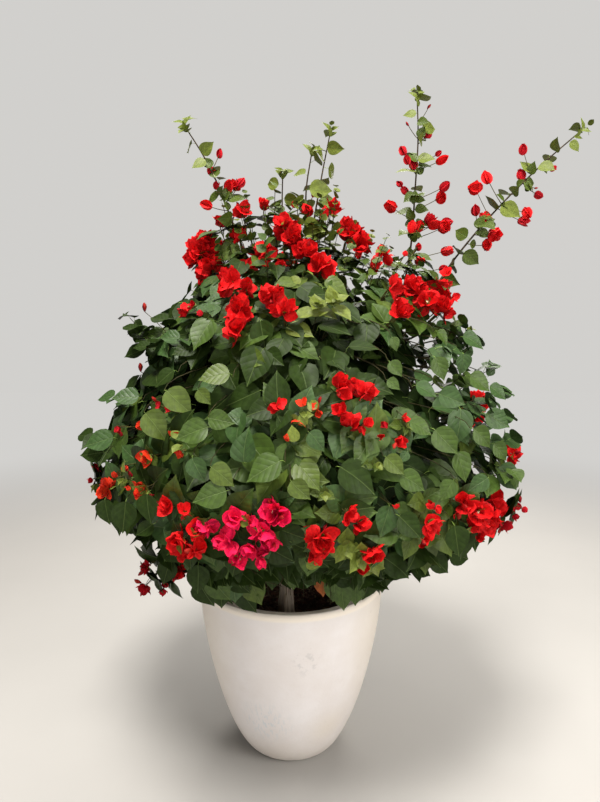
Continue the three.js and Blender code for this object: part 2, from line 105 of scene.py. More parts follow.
# The foot's places: how far inside its radius, and how high. The lip's: how far inside and below its edge
FOOT_PLACES = [(0.006, 0), (0.001, 0.0008), (-0.003, 0.003)]
LIP_PLACES = [
    (0, 0.014), (0.002, 0.0055), (0.008, 0), (0.014, 0.002),
    (0.017, 0.0045), (0.035, 0.0060), (0.039, 0.013), (0.034, 0.025),
]
POT_ROWS = SimpleNamespace(wall=64, first=0.012, crowding=1.35, lip=28, inside=14)
SOIL = SimpleNamespace(
    seam=0.001, shoulder=0.004, side_rows=8, top_rows=44, segments=132, lump_scale=30, lump=0.0055,
    mound=0.006, mound_spread=0.006, sink=0.003,
)
LITTER = SimpleNamespace(shapes=5, shape_seed=40, seed=4, largest=0.016, least=0.3, picks=9)

# The crown's outline: at each height, its reach to the right, to the left, and to the front and back
CROWN_ROWS = [
    (0.545, 0.295, 0.285, 0.292),
    (0.610, 0.430, 0.350, 0.345),
    (0.660, 0.570, 0.410, 0.420),
    (0.720, 0.625, 0.475, 0.495),
    (0.810, 0.620, 0.570, 0.545),
    (0.935, 0.595, 0.575, 0.550),
    (1.050, 0.585, 0.505, 0.515),
    (1.180, 0.525, 0.405, 0.445),
    (1.260, 0.500, 0.440, 0.400),
    (1.340, 0.415, 0.335, 0.320),
    (1.400, 0.325, 0.265, 0.260),
    (1.475, 0.150, 0.150, 0.140),
]
CROWN_HEART = Vector((0, 0, 0.95))

# Rings of foliage masses: how many, at which height, how far out as a share of the reach, the first one's
# azimuth in degrees, where their boughs leave the trunk, and how thick these are there
RINGS = [
    dict(count=6, height=0.725, share=0.62, first=-60, fork=0.560, bough=0.013),
    dict(count=5, height=0.975, share=0.58, first=-90, fork=0.715, bough=0.012),
    dict(count=4, height=1.205, share=0.54, first=-100, fork=0.865, bough=0.010),
]
FORK_RISE = 0.014
FORK_STEPS = 400
TOP_HEIGHT = 1.365
CELL_MARGIN = 0.0015
REACH_STEP = 0.005
CORE_SHARE = 0.62
BORDER = 1.4
BOUGH_BEND = 0.38
BOUGH_LIFT = 0.66
BOUGH_TIP = 0.006
STEM = 0.022

# The trunk: places on its axis, and its thickness
TRUNK_AXIS = [
    (-0.014, 0, SOIL_TOP + GAP),
    (-0.014, 0, 0.450),
    (-0.010, 0.004, 0.600),
    (-0.003, 0.007, 0.800),
    (0.005, 0.004, 1.000),
    (0.002, 0, 1.195),
]
TRUNK_RADIUS = 0.021
TRUNK_TIP_RADIUS = 0.007
TRUNK_TAPER = 1.2
FLARE = 0.007
FLARE_HEIGHT = 0.045
RIBS = 5
RIB_DEPTH = 0.09

# Twigs: the main ones of each mass as in the solids, and the finer ones on them
MASS_SEED = 101
SEED_STEP = 17
TWIG_DIRECTIONS = 22
TWIG_SHARE = 0.84
TWIG_START = 0.35
TWIG_FOOT = 0.0034
TWIG_TIP = 0.0016
FINE_FROM = 0.34
FINE_OPENING = 0.9
FINE_SHORTEST = 0.055
FINE_RANGE = 0.075
FINE_LIFT = 0.18
FINE_TIP = 0.0008
FINE_TRIES = (1, 0.75, 0.5)
FINE_SWAY = 0.12
OPENING_LEAST = 0.6
OPENING_RANGE = 0.6
TWIG_BEND = 0.16
BORDER_SHARE = 0.8
STEPS = SimpleNamespace(bough=10, twig=6, lone=5, hanging=4, fine=3, leaf_stalk=2)
TWIG_MARGIN = 0.040
CELL_OVERLAP = 0.03
LUMP_DEPTH = 0.055
LUMP_SCALE = 8
# Leaves deeper than this inside the outline take the inner colour, a darker copy: painted shade
PAINTED_SHADE_DEPTH = 0.15
INNER_DEPTH = 0.18
INNER_SHARE = 0.6

# Leaves: where along a fine twig they start, their spacing, and their stalks and blades
LEAF_START = 0.3
LEAF_SPACING = 0.030
LEAF_BEYOND = 0.016
LEAF_STALK = 0.24
LEAF_WIDTH = 0.39
NARROW_WIDTH = 0.22
# Painted shade in the vein grooves: how much darker they are for each metre of relief
PAINTED_GROOVE_SHADE = 250
VEIN_COLOUR = (0.19, 0.27, 0.08)
STALK_COLOUR = (0.22, 0.34, 0.07)
# Each colour's relief and gloss; the relief also sets how dark the painted shade in the vein grooves is
LEAF_FINISH = dict(
    inner=(0.0010, 0.10), deep=(0.0010, 0.12), green=(0.0012, 0.28), bluish=(0.0012, 0.30),
    olive=(0.0012, 0.28), young=(0.0003, 0.20), dead=(0.0012, 0.10),
)
# Half the blade's width at shares of its length, as a share of the widest half
LEAF_OUTLINE = [
    (0, 0.2), (0.06, 0.62), (0.18, 0.92), (0.34, 1), (0.5, 0.92),
    (0.65, 0.72), (0.78, 0.43), (0.89, 0.17), (1, 0),
]
LEAF_COLUMNS = (-1, -0.5, 0, 0.5, 1)
LEAF_SHAPES = 5
LEAF_SEED = 70
NARROW_SEED = 69
# A blade's fold along its midrib, droop, sway, curl and ripple, each between two limits
BLADE_LIMITS = [(0.2, 0.48), (0.08, 0.26), (-0.12, 0.12), (0.2, 0.7), (0.012, 0.03)]
RIPPLES = 9
BLADE_START = 0.10
STALK_BEND = 0.16
STALK_RADII = (0.012, 0.009)

# Where the light comes from that the leaves turn to, how far they do, and where they start to along Y
FRONT = Vector((0, -1, 0))
FRONT_SHARE = 0.24
FRONT_FROM = 0.2
FRONT_BY = 0.3

# How a leaf stands: how far its blade faces outwards and upwards, low down and at the crown's top, and how
# far its tip points down, aside, outwards and along its twig. This near to the axis, outwards is to the front
STANCE = SimpleNamespace(
    face_out=(0.66, 0.3), face_up=(0.72, 0.85), face_stray=0.6, top_from=1.2, top_by=0.27,
    tip_down=-0.5, tip_aside=0.1, tip_aside_range=1.05, tip_out=(0.4, 0.7), tip_along=0.3, tip_stray=0.35,
    axis=0.03,
)
LEAF_REACH = 1.1
PLANTER_ROOM = 0.008

# A leaf's length beside a middling one: low down and at the top, at the left and at the right, and its range
LENGTHS = SimpleNamespace(
    by_height=(1.14, 0.76), low=0.75, rise=0.65, by_side=(1.08, 0.92), left=-0.5,
    least=0.66, range=0.62, young=0.6,
)

# The parts of the crown that differ in colour, and the chance up to which each colour is dealt out there
LOW_PART = 0.80
HIGH_PART = 1.12
HIGH_LEFT = -0.16
HIGH_RIGHT = 0.22
RIGHT_PART = 0.15
# Painted shade: the deep colour, a darker copy of the green, is dealt out most in the low part and least at
# the right
TONES = dict(
    low=[(0.93, "deep"), (1, "green")],
    high_left=[(0.35, "deep"), (0.75, "bluish"), (1, "green")],
    high_middle=[(0.12, "olive"), (0.34, "green"), (0.97, "deep"), (1, "young")],
    right=[(0.4, "bluish"), (0.7, "green"), (0.96, "olive"), (1, "deep")],
    middle=[(0.36, "deep"), (0.68, "green"), (0.88, "bluish"), (1, "olive")],
)

# Where the largest leaves grow, and where low ones start to be smaller and are smallest
LARGE_LEAVES = SimpleNamespace(middle=Vector((-0.20, -0.45, 1.03)), reach=0.24, growth=0.16)
LOW_LEAVES = SimpleNamespace(start=0.78, end=0.68, share=0.72)

# Where sky shows between the sprays: above a height, more and more to the right and the back, up to a share
AIRY = SimpleNamespace(above=0.92, right=0.16, back=-0.38, by=0.26, share=0.76)
# The gap at the front, over the rim, where the trunk shows: its ceiling falls away behind the rim
FRONT_GAP = SimpleNamespace(left=-0.078, right=0.128, back=0.06, rim=-0.28, top=0.602, slope=0.46)

# Loose twigs that stand out of the crown: where the tip shows, the leaves' colour and their length
# The deep colour on these leaves is painted shade
SPRIGS = [
    ((473, 345, -0.17), "bluish", 0.068), ((489, 370, -0.15), "bluish", 0.074),
    ((499, 395, -0.15), "bluish", 0.070), ((501, 419, -0.22), "bluish", 0.078),
    ((506, 441, -0.22), "bluish", 0.080), ((457, 329, -0.16), "bluish", 0.055),
    ((458, 326, -0.20), "green", 0.060), ((464, 375, -0.24), "green", 0.070),
    ((479, 404, -0.27), "bluish", 0.074), ((510, 473, -0.27), "green", 0.080),
    ((453, 350, -0.28), "bluish", 0.064), ((130, 318, -0.12), "deep", 0.072),
    ((137, 334, -0.18), "deep", 0.080), ((153, 349, -0.24), "deep", 0.084),
    ((170, 326, -0.20), "deep", 0.078), ((183, 341, -0.29), "bluish", 0.084),
    ((201, 325, -0.29), "deep", 0.076), ((119, 399, -0.22), "bluish", 0.088),
    ((97, 439, -0.20), "deep", 0.086), ((108, 503, -0.15), "deep", 0.090),
    ((127, 514, -0.20), "deep", 0.092), ((387, 237, -0.15), "olive", 0.036),
    ((372, 234, -0.06), "young", 0.030), ((250, 215, -0.05), "olive", 0.036),
    ((255, 236, -0.06), "young", 0.034), ((290, 212, -0.05), "olive", 0.040),
    ((302, 227, -0.07), "young", 0.036), ((322, 216, -0.05), "young", 0.036),
    ((338, 233, -0.07), "olive", 0.044), ((268, 222, -0.05), "olive", 0.040),
    ((238, 223, -0.08), "young", 0.034), ((228, 234, -0.06), "olive", 0.036),
    ((356, 226, -0.06), "young", 0.032), ((222, 203, -0.06), "young", 0.028),
    ((246, 195, -0.05), "olive", 0.030), ((297, 200, -0.05), "young", 0.034),
    ((320, 200, -0.06), "olive", 0.036), ((336, 189, -0.05), "young", 0.030),
    ((275, 189, -0.05), "olive", 0.034), ((390, 250, -0.05), "olive", 0.034),
    ((410, 260, -0.05), "young", 0.032), ((401, 263, -0.09), "olive", 0.034),
    ((351, 246, -0.13), "olive", 0.042), ((266, 241, -0.18), "green", 0.045),
    ((219, 240, -0.09), "green", 0.045), ((250, 236, 0.06), "olive", 0.036),
    ((313, 227, -0.12), "young", 0.032), ((328, 236, 0.09), "olive", 0.038),
    ((294, 235, 0.11), "green", 0.040), ((417, 267, -0.06), "green", 0.045),
    ((391, 265, 0.10), "olive", 0.042), ((206, 268, 0.06), "green", 0.050),
    ((407, 330, -0.20), "green", 0.066), ((423, 338, -0.18), "bluish", 0.062),
    ((394, 325, -0.23), "green", 0.060), ((357, 282, -0.15), "green", 0.055),
    ((371, 296, -0.14), "olive", 0.055), ((380, 309, -0.17), "bluish", 0.060),
]
# A loose twig and its leaves, whose lengths differ along the twig and by chance
SPRIG = SimpleNamespace(
    seed=500, length=0.19, slope=0.5, rise=0.02, sway=0.012, foot=0.0022, bare=0.42, leaves=7,
    tip_up=(-0.6, 0.35), tip_out=(0.2, 0.9), tip_stray=0.3, facing=0.5,
    lengths=(1.15, 0.7), spread=(0.8, 1.15),
)

# Twigs that hang over the planter's rim
SKIRT = SimpleNamespace(
    seed=640, twigs=54, leaves=5, foot_out=(0.20, 0.27), foot_up=(0.64, 0.67),
    end_aside=(-0.2, 0.2), end_out=(0.27, 0.33), end_up=(0.575, 0.60), arch=0.06, bare=0.3,
)

# Leaves that hang in front of the rim: where the foot of the stalk and the tip show, and the colour
# The deep colour on these leaves is painted shade
RIM_LEAVES = [
    ((240, 586, -0.26), (257, 614, -0.29), "deep"), ((247, 571, -0.27), (263, 604, -0.28), "olive"),
    ((199, 575, -0.29), (214, 605, -0.28), "deep"), ((222, 577, -0.28), (225, 609, -0.29), "deep"),
    ((233, 570, -0.30), (239, 603, -0.30), "bluish"), ((210, 572, -0.30), (230, 600, -0.30), "green"),
    ((339, 581, -0.26), (344, 611, -0.28), "green"), ((354, 576, -0.25), (353, 606, -0.27), "green"),
    ((368, 570, -0.23), (365, 601, -0.24), "deep"), ((332, 571, -0.27), (336, 602, -0.28), "green"),
    ((378, 564, -0.21), (380, 593, -0.22), "deep"), ((292, 564, -0.27), (294, 590, -0.28), "green"),
    ((274, 560, -0.28), (271, 590, -0.29), "deep"), ((311, 560, -0.28), (310, 589, -0.29), "bluish"),
    ((320, 569, -0.27), (326, 597, -0.29), "dead"),
]

# A hanging leaf's length from the foot of its stalk, how far its twig reaches in and up, and how it arches
HANG_LENGTH = 1.12
HANG_IN = 0.35
HANG_UP = 0.05
HANG_ARCH = 0.03
HANG_FACE_UP = 0.35

# Large single leaves on the crown's front and edges, by colour: where the foot of the stalk and the tip show
EDGE_DEPTH = 0.12
SHOWN = SimpleNamespace(seed=460, tip_out=0.012, face_front=0.9, face_up=0.45, face_out=0.3, face_stray=0.3)
SHOWN_LEAVES = {
    "olive": [
        (164, 391, 195, 418), (198, 389, 215, 406), (233, 377, 200, 383), (144, 412, 174, 440),
        (210, 466, 239, 483), (290, 479, 310, 499), (383, 456, 401, 474),
    ],
    "bluish": [
        (142, 401, 116, 400), (119, 440, 90, 449), (193, 455, 208, 482), (247, 462, 247, 425),
        (308, 431, 326, 450), (486, 377, 484, 360), (485, 387, 500, 402), (481, 413, 503, 430),
        (458, 339, 480, 350), (494, 464, 514, 487), (412, 387, 432, 401), (435, 394, 461, 406),
        (488, 477, 461, 489), (461, 352, 457, 378), (440, 387, 456, 411), (407, 451, 395, 462),
    ],
    "green": [
        (212, 428, 178, 440), (208, 418, 239, 424), (230, 490, 194, 499), (434, 332, 444, 348),
        (391, 337, 395, 354), (432, 356, 438, 384), (465, 376, 484, 394), (430, 428, 451, 456),
        (490, 443, 503, 459), (397, 474, 423, 487), (388, 361, 398, 380), (386, 380, 397, 392),
        (285, 462, 247, 481), (470, 428, 487, 446), (406, 423, 429, 434), (456, 447, 431, 437),
        (451, 450, 459, 482), (454, 479, 435, 499),
    ],
    # Painted shade: the deep colour darkens leaves that lie in shade
    "deep": [
        (107, 496, 115, 523), (128, 497, 129, 531), (151, 490, 156, 522), (156, 523, 141, 535),
        (107, 453, 85, 458), (451, 521, 452, 554), (395, 514, 417, 536), (178, 372, 160, 390),
        (150, 352, 128, 362), (200, 560, 204, 590), (172, 556, 166, 580),
    ],
}

# Whorls of young leaves at the ends of twigs: where each shows, and its longest leaf. Those at the sides and
# the back: azimuth in degrees, distance, height and longest leaf
ROSETTES = [
    ((345, 546, -0.53), 0.058), ((358, 556, -0.53), 0.062), ((372, 565, -0.48), 0.052),
    ((124, 481, -0.44), 0.034), ((146, 456, -0.45), 0.032), ((304, 416, -0.50), 0.034),
    ((408, 426, -0.47), 0.032), ((378, 466, -0.52), 0.028), ((325, 496, -0.56), 0.030),
    ((334, 303, -0.35), 0.062), ((318, 307, -0.35), 0.056),
]
SIDE_ROSETTES = [
    (-20, 0.500, 1.260, 0.030), (-150, 0.560, 0.870, 0.032), (60, 0.500, 1.000, 0.040),
    (120, 0.500, 1.080, 0.040), (165, 0.560, 0.900, 0.036),
]
# A whorl: its leaves, how deep it sits, how they rise, stray and face, and from which size it is bright
ROSETTE = SimpleNamespace(
    leaves=7, depth=0.03, rise=(0.05, 1.3), stray=0.3, face_up=0.3, face_in=0.6, smallest=0.5,
    bright=0.045, twig=(0.12, 0.05),
)

# Bracts: their outline as a leaf's, their widths, and how far those of the first and the last flower open
BRACT_OUTLINE = [(0, 0.34), (0.12, 0.8), (0.32, 1), (0.55, 0.96), (0.76, 0.7), (0.9, 0.35), (1, 0)]
BRACT_SEED = 20
BRACT_EDGE = (0.9, 0.12, 0.12)
OPEN_BRACTS = SimpleNamespace(shapes=8, width=0.50, opening=(0.5, 1.2), cup=0.3, crumple=0.2)
CLOSED_BRACTS = SimpleNamespace(shapes=3, width=0.38, opening=(0.28, 0.58), cup=0.45, crumple=0.05)

# Bunches of blossom by colour: where the middle shows, how far the bracts reach from it in pixels, and the
# distance along Y of a bunch that isn't on the crown's outline
BUNCH_ROOM = 1.06
CLUSTERS = {
    "red": [
        (201, 258, 15, -0.03), (212, 270, 14, -0.05), (222, 252, 8, -0.03), (208, 244, 9, -0.02),
        (232, 282, 12), (246, 290, 9), (240, 313, 12), (237, 330, 11), (272, 300, 11), (284, 313, 11),
        (262, 255, 10, -0.10), (240, 238, 8, -0.05), (284, 228, 11, -0.08), (292, 240, 12, -0.10),
        (306, 255, 11, -0.12), (320, 267, 12, -0.15), (283, 268, 7, -0.14), (248, 268, 7, -0.12),
        (348, 235, 11, -0.04), (360, 244, 10, -0.06), (370, 266, 7, -0.10), (382, 256, 8, -0.08),
        (309, 212, 6, -0.04), (330, 209, 8, -0.02), (320, 229, 6, -0.03), (263, 205, 6, -0.03),
        (242, 212, 7, -0.05), (218, 221, 5, -0.05), (404, 256, 4, -0.05), (417, 247, 3, -0.03),
        (421, 262, 5, -0.05), (391, 286, 10), (398, 314, 12), (413, 290, 13), (426, 304, 12),
        (438, 290, 12, -0.12), (442, 312, 12), (452, 298, 6, -0.12), (446, 275, 6, -0.10), (187, 312, 7),
        (339, 389, 11), (365, 393, 11), (353, 385, 6), (343, 412, 8), (352, 425, 10), (364, 426, 8),
        (278, 405, 7), (380, 438, 6), (397, 438, 8), (402, 419, 6), (137, 498, 4), (168, 508, 9),
        (183, 511, 8.5), (196, 530, 10, -0.53), (183, 540, 11, -0.53), (195, 550, 11, -0.53),
        (180, 552, 8, -0.51), (176, 569, 10, -0.27),
        (197, 566, 6, -0.30), (320, 538, 13), (315, 554, 9), (348, 512, 10), (357, 524, 10), (370, 551, 11),
        (358, 567, 9), (345, 520, 5), (435, 507, 7), (428, 522, 11), (424, 541, 8), (397, 509, 4),
        (461, 504, 10), (475, 510, 13), (470, 524, 9), (478, 534, 7), (490, 502, 11.5, -0.26),
        (500, 506, 8.5, -0.24), (485, 520, 11, -0.28), (511, 454, 8, -0.12),
    ],
    "crimson": [
        (203, 315, 3), (194, 306, 3), (388, 427, 3), (118, 426, 3), (160, 406, 4), (171, 411, 4),
        (92, 464, 3, -0.15), (93, 479, 4, -0.15), (149, 566, 7, -0.20), (146, 585, 7, -0.20),
        (163, 588, 6, -0.21), (503, 524, 7.5, -0.23), (513, 514, 6, -0.21), (522, 508, 6, -0.18),
        (497, 488, 4.5, -0.24),
    ],
    "orange": [
        (318, 410, 7), (300, 418, 7), (291, 441, 4.5), (303, 405, 4.5), (144, 428, 6.5), (172, 437, 5.5),
        (181, 451, 3.5), (150, 456, 9), (127, 465, 6), (107, 490, 9), (129, 485, 4), (144, 488, 9.5),
        (115, 478, 3), (327, 547, 8), (309, 560, 4.5),
    ],
    "pink": [
        (206, 522, 11), (233, 518, 10), (230, 541, 12), (238, 556, 9), (252, 546, 9), (262, 557, 9),
        (262, 530, 12), (277, 512, 12), (272, 538, 10), (250, 522, 8),
    ],
}
# Sprays of the same bunches at the sides and the back: azimuth in degrees, distance, height, colour
SIDE_SPRAYS = [
    (14, 0.575, 1.000, "red"), (72, 0.435, 1.215, "red"), (118, 0.525, 0.900, "red"),
    (158, 0.440, 1.120, "red"), (95, 0.245, 1.430, "red"), (40, 0.545, 0.800, "red"),
    (150, 0.505, 0.780, "crimson"), (70, 0.525, 0.980, "orange"),
]
SIDE_SEED = 280
SIDE_BUNCHES = 6
SIDE_SPREAD = 0.062
SIDE_CORE = 0.3
SIDE_REACH = (0.012, 0.032)

# A bunch: its flowers, how they turn outwards, their stalks, and the tubes, buds and leaves by them
BUNCH = SimpleNamespace(
    seed=300, flowers=12, full=0.040, core=0.2,
    bract_growth=1.5, bract_shares=(0.45, 1.1), bract_room=0.6, sizes=(0.75, 1.12),
    stalk=0.03, sway=0.012, sink=0.012, stem_radii=(0.0016, 0.0011), stalk_radii=(0.0011, 0.0007),
    spread_out=0.3, turn_out=0.6, turn_stray=0.7, tube_chance=0.15, tube_size=0.6,
    bud_chance=0.2, bud_out=0.012, bud_stray=0.6, bud_size=0.016, bud_range=0.01,
    leaf_chance=0.1, orange_leaf_chance=0.6, leaf_in=0.01, leaf_stray=0.8, leaf_size=0.022, leaf_range=0.014,
)
# The leaves round a bunch's foot, fewer at a small bunch
COLLAR = SimpleNamespace(
    least=2, leaves=5, from_reach=0.0095, length=0.064, lengths=(0.7, 1.2), out=0.5,
    tip_out=0.3, tip_down=0.3, face_up=0.4, face_front=0.3,
)

# Buds that stand alone on long stalks: where each shows
LONE_BUDS = [(141, 372, -0.19), (145, 312, -0.15)]
LONE_BUD = SimpleNamespace(length=0.026, inward=0.3, drop=0.05, arch=0.03, lean=0.3, radii=(0.0013, 0.0008))

# Long shoots: the place in the crown that each grows from, places on its way up to its tip, how much larger
# its leaves are, and its blossom: where it shows and how far it reaches in pixels
SHOOTS = [
    dict(
        foot=(-0.112, -0.035, 1.440),
        way=[
            (-0.150, -0.045, 1.530), (-0.198, -0.050, 1.655), (-0.236, -0.045, 1.730),
            (-0.288, -0.040, 1.811),
        ],
        blossom=[
            (219, 152, 4), (210, 169, 4.5), (217, 186, 3.5), (229, 186, 5.5), (236, 184, 6.5),
            (241, 182, 5), (206, 205, 5.5), (220, 222, 5),
        ],
    ),
    dict(
        foot=(-0.018, 0.025, 1.455),
        way=[(-0.021, 0.030, 1.530), (-0.024, 0.032, 1.620), (-0.022, 0.030, 1.697)],
        blossom=[(264, 205, 6), (296, 205, 4)],
        lush=1.1,
    ),
    dict(
        foot=(0.038, -0.012, 1.455),
        way=[(0.044, -0.020, 1.540), (0.044, -0.030, 1.640), (0.060, -0.035, 1.745)],
        blossom=[(308, 211, 6.5), (314, 194, 3)],
        lush=1.15,
    ),
    dict(
        foot=(0.055, 0.048, 1.450),
        way=[(0.066, 0.055, 1.560), (0.090, 0.060, 1.700), (0.116, 0.062, 1.830)],
        blossom=[(331, 208, 7), (319, 228, 6)],
        lush=1.1,
    ),
    dict(
        foot=(0.328, 0.035, 1.368),
        way=[(0.347, 0.030, 1.500), (0.354, 0.025, 1.650), (0.358, 0.020, 1.790), (0.351, 0.015, 1.912)],
        blossom=[
            (427, 110, 2.5), (407, 125, 2.5), (428, 133, 4.5), (403, 150, 4.5), (438, 154, 3),
            (442, 160, 5.5), (406, 161, 4), (413, 164, 5), (400, 183, 3.5), (405, 190, 4), (444, 187, 5),
            (442, 196, 7), (391, 206, 7), (430, 218, 5), (434, 224, 7), (444, 227, 8), (449, 221, 5),
            (412, 227, 5.5), (418, 227, 5.5), (448, 250, 5.5), (418, 247, 3.5), (421, 260, 4.5),
            (444, 268, 4),
        ],
    ),
    dict(
        foot=(0.386, -0.028, 1.342),
        way=[(0.455, -0.030, 1.450), (0.560, -0.030, 1.578), (0.685, -0.030, 1.704), (0.802, -0.030, 1.806)],
        blossom=[
            (522, 150, 4.5), (488, 176, 6), (473, 189, 7.5), (522, 174, 5), (529, 179, 3), (541, 194, 4.5),
            (538, 187, 2), (527, 213, 6.5), (525, 221, 5), (474, 211, 5), (486, 218, 7.5), (493, 235, 8),
            (487, 245, 6.5), (498, 238, 3), (552, 169, 3),
        ],
    ),
]
# A shoot's cane, with a leaf at each node and a whorl of them at its tip
CANE = SimpleNamespace(
    seed=900, steps=40, start=0.2, sink=0.12, radii=(0.0031, 0.0016),
    bare=0.05, node=0.032, nodes=(0.8, 1.2), turn=2.4,
)
CANE_LEAF = SimpleNamespace(
    length=0.060, lengths=(1.15, 0.7), spread=(0.75, 1.15), rise=0.35, hang=0.35,
    face_up=0.4, face_front=0.8, face_stray=0.7,
)
CANE_TIP = SimpleNamespace(leaves=7, rise=(0.2, 1.2), face=0.5, step=0.012, length=0.034, less=0.001)
# Its blossom. From the first three reaches on, a bud is a flower, a flower is red and there are two
CANE_BLOOM = SimpleNamespace(
    least=0.0085, red=0.0155, pair=0.0175, growth=2.4, pair_power=0.3, bud_growth=2.1,
    below=0.035, aside=(-0.02, 0.02), lift=0.01, stray=0.015, sag=0.006, radii=(0.0012, 0.0009),
    tilt=0.9, tilt_less=0.6, leaf=(0.026, 0.040), leaf_stray=0.8, leaf_down=0.3, face_up=0.4, face_stray=0.6,
)

# The lights: their colour, and each one's place, aim, share of the key light's power and size
WARM_LIGHT = (1.0, 0.96, 0.90)
LIGHTS = dict(
    key=((-0.4, -1.8, 4.8), CROWN_HEART, 1.15, 1.3),
    fill=((2.5, -2.1, 2.3), CROWN_HEART, 0.3, 1.6),
    front=((-0.2, -3.6, 1.4), (0, 0, 0.3), 0.115, 1.2),
    rear=((0.8, 2.8, 3.0), CROWN_HEART, 0.3, 2.0),
    ceiling=((0.3, 1.5, 6.0), (0.3, 1.6, 0), 0.85, 6.0),
)
# Half the floor's width, and the distances between which it fades into the backdrop
FLOOR_HALF = 9
FLOOR_FADE = (1.8, 4.8)


# Numbers, places and paths


def seeded_random(seed):
    """The same numbers each time, from 0 up to 1."""
    word = 0xFFFFFFFF
    state = seed & word

    def draw():
        nonlocal state
        state = (state + 0x6D2B79F5) & word
        mixed = ((state ^ (state >> 15)) * (state | 1)) & word
        mixed ^= (mixed + (mixed ^ (mixed >> 7)) * (mixed | 61)) & word
        return (mixed ^ (mixed >> 14)) / 2**32

    return draw


def mix(low, high, share):
    return low + (high - low) * share


def clamp(value, low=0, high=1):
    return max(low, min(high, value))


def around_axis(azimuth, distance, height):
    """The place at an azimuth, a distance from the upright axis and a height."""
    return Vector((distance * math.cos(azimuth), distance * math.sin(azimuth), height))


def seen_at(across, down, depth):
    """The place at a distance along Y that shows at a place in the photograph."""
    right = (across - PHOTO_MIDDLE[0]) / PHOTO_FOCUS
    below = (down - PHOTO_MIDDLE[1]) / PHOTO_FOCUS
    ahead = math.cos(EYE_PITCH) - below * math.sin(EYE_PITCH)
    fall = math.sin(EYE_PITCH) + below * math.cos(EYE_PITCH)
    away = (depth - EYE.y) / ahead
    return Vector((EYE.x + away * right, depth, EYE.z - away * fall))


def seen_size(pixels, place):
    """The real size of what measures some pixels in the photograph, at a place."""
    return pixels * (place.y - EYE.y) / PHOTO_FOCUS


def random_way(random):
    """A direction from an even spread over a ball."""
    height = 2 * random() - 1
    ring = math.sqrt(1 - height * height)
    angle = 2 * math.pi * random()
    return Vector((ring * math.cos(angle), ring * math.sin(angle), height))


def across_from(way, hint=UP):
    """A direction square to another one."""
    side = way.cross(hint)
    if side.length < 0.01:
        side = way.cross(Vector((1, 0, 0)))
    return side.normalized()


def aside_from(way, turn, hint=UP):
    """A direction square to another one, turned round it."""
    return Quaternion(way, turn) @ across_from(way, hint)


def standing(way, facing):
    """The turn that points a shape's Y axis along a way and its Z axis as near to a facing as that allows."""
    forward = way.normalized()
    across = forward.cross(facing)
    if across.length < 0.001:
        across = across_from(forward)
    across.normalize()
    upper = across.cross(forward)
    return Matrix((across, forward, upper)).transposed().to_quaternion()


class Path:
    """A smooth line through places, measured along its length."""

    SAMPLES = 160

    def __init__(self, places):
        self.places = [Vector(place) for place in places]
        self.samples = [self.spline(k / self.SAMPLES) for k in range(self.SAMPLES + 1)]
        self.lengths = [0]
        for first, second in zip(self.samples, self.samples[1:]):
            self.lengths.append(self.lengths[-1] + (second - first).length)
        self.length = self.lengths[-1]

    def spline(self, share):
        """A place on the line, by a Catmull-Rom spline whose knots are spaced by the root of the distance."""
        last = len(self.places) - 1
        start = min(int(share * last), last - 1)
        one, two = self.places[start], self.places[start + 1]
        before = self.places[start - 1] if start > 0 else 2 * one - two
        after = self.places[start + 2] if start + 2 <= last else 2 * two - one
        pairs = ((before, one), (one, two), (two, after))
        gap_0, gap_1, gap_2 = (math.sqrt((b - a).length) for a, b in pairs)
        slope_1 = ((one - before) / gap_0 - (two - before) / (gap_0 + gap_1) + (two - one) / gap_1) * gap_1
        slope_2 = ((two - one) / gap_1 - (after - one) / (gap_1 + gap_2) + (after - two) / gap_2) * gap_1
        t = share * last - start
        cubic = 2 * one - 2 * two + slope_1 + slope_2
        square = -3 * one + 3 * two - 2 * slope_1 - slope_2
        return ((cubic * t + square) * t + slope_1) * t + one

    def at(self, share):
        wanted = clamp(share) * self.length
        k = 1
        while k < self.SAMPLES and self.lengths[k] < wanted:
            k += 1
        low, high = self.lengths[k - 1], self.lengths[k]
        return self.samples[k - 1].lerp(self.samples[k], (wanted - low) / max(high - low, 1e-9))

    def way(self, share):
        step = 0.01
        return (self.at(share + step) - self.at(share - step)).normalized()


def bent_at(start, bend, end, share):
    """The place at a share of a line from its start to its end that is drawn towards a third place."""
    return start.lerp(bend, share).lerp(bend.lerp(end, share), share)


def bent(start, bend, end, steps):
    """Places along such a line, at even shares."""
    return [bent_at(start, bend, end, k / steps) for k in range(steps + 1)]


# Small meshes


class Shape:
    """The places and faces of a small mesh, with a place on a square tile for each corner."""

    def __init__(self):
        self.places = []
        self.faces = []
        self.corners = []

    def skin(self, rows, tiles, closed=False):
        """Faces between rows of places. A row of one place is a point that the faces end in."""
        starts = []
        for row in rows:
            starts.append(len(self.places))
            self.places.extend(row)
        for low in range(len(rows) - 1):
            count = max(len(rows[low]), len(rows[low + 1]))
            for column in range(count if closed else count - 1):
                face = {}
                for row, step in ((low, column), (low, column + 1), (low + 1, column + 1), (low + 1, column)):
                    index = starts[row] + step % len(rows[row])
                    face.setdefault(index, tiles[row][min(step, len(tiles[row]) - 1)])
                self.faces.append(list(face))
                self.corners.extend(face.values())

    def mesh(self, name, tiled=True):
        mesh = bpy.data.meshes.new(name)
        mesh.from_pydata(self.places, [], self.faces)
        if tiled:
            layer = mesh.uv_layers.new(name=BAKE_UV)
            layer.data.foreach_set("uv", [number for corner in self.corners for number in corner])
        mesh.shade_smooth()
        return mesh


def add_object(name, mesh, material=None):
    thing = bpy.data.objects.new(name, mesh)
    bpy.context.scene.collection.objects.link(thing)
    if material is not None:
        mesh.materials.append(material)
    return thing


def plain_mesh(name, *skins, closed=True):
    """A mesh of rows of places, without a place on the tile."""
    shape = Shape()
    for rows in skins:
        shape.skin(rows, [[(0, 0)] * (len(row) + 1) for row in rows], closed)
    return shape.mesh(name, tiled=False)


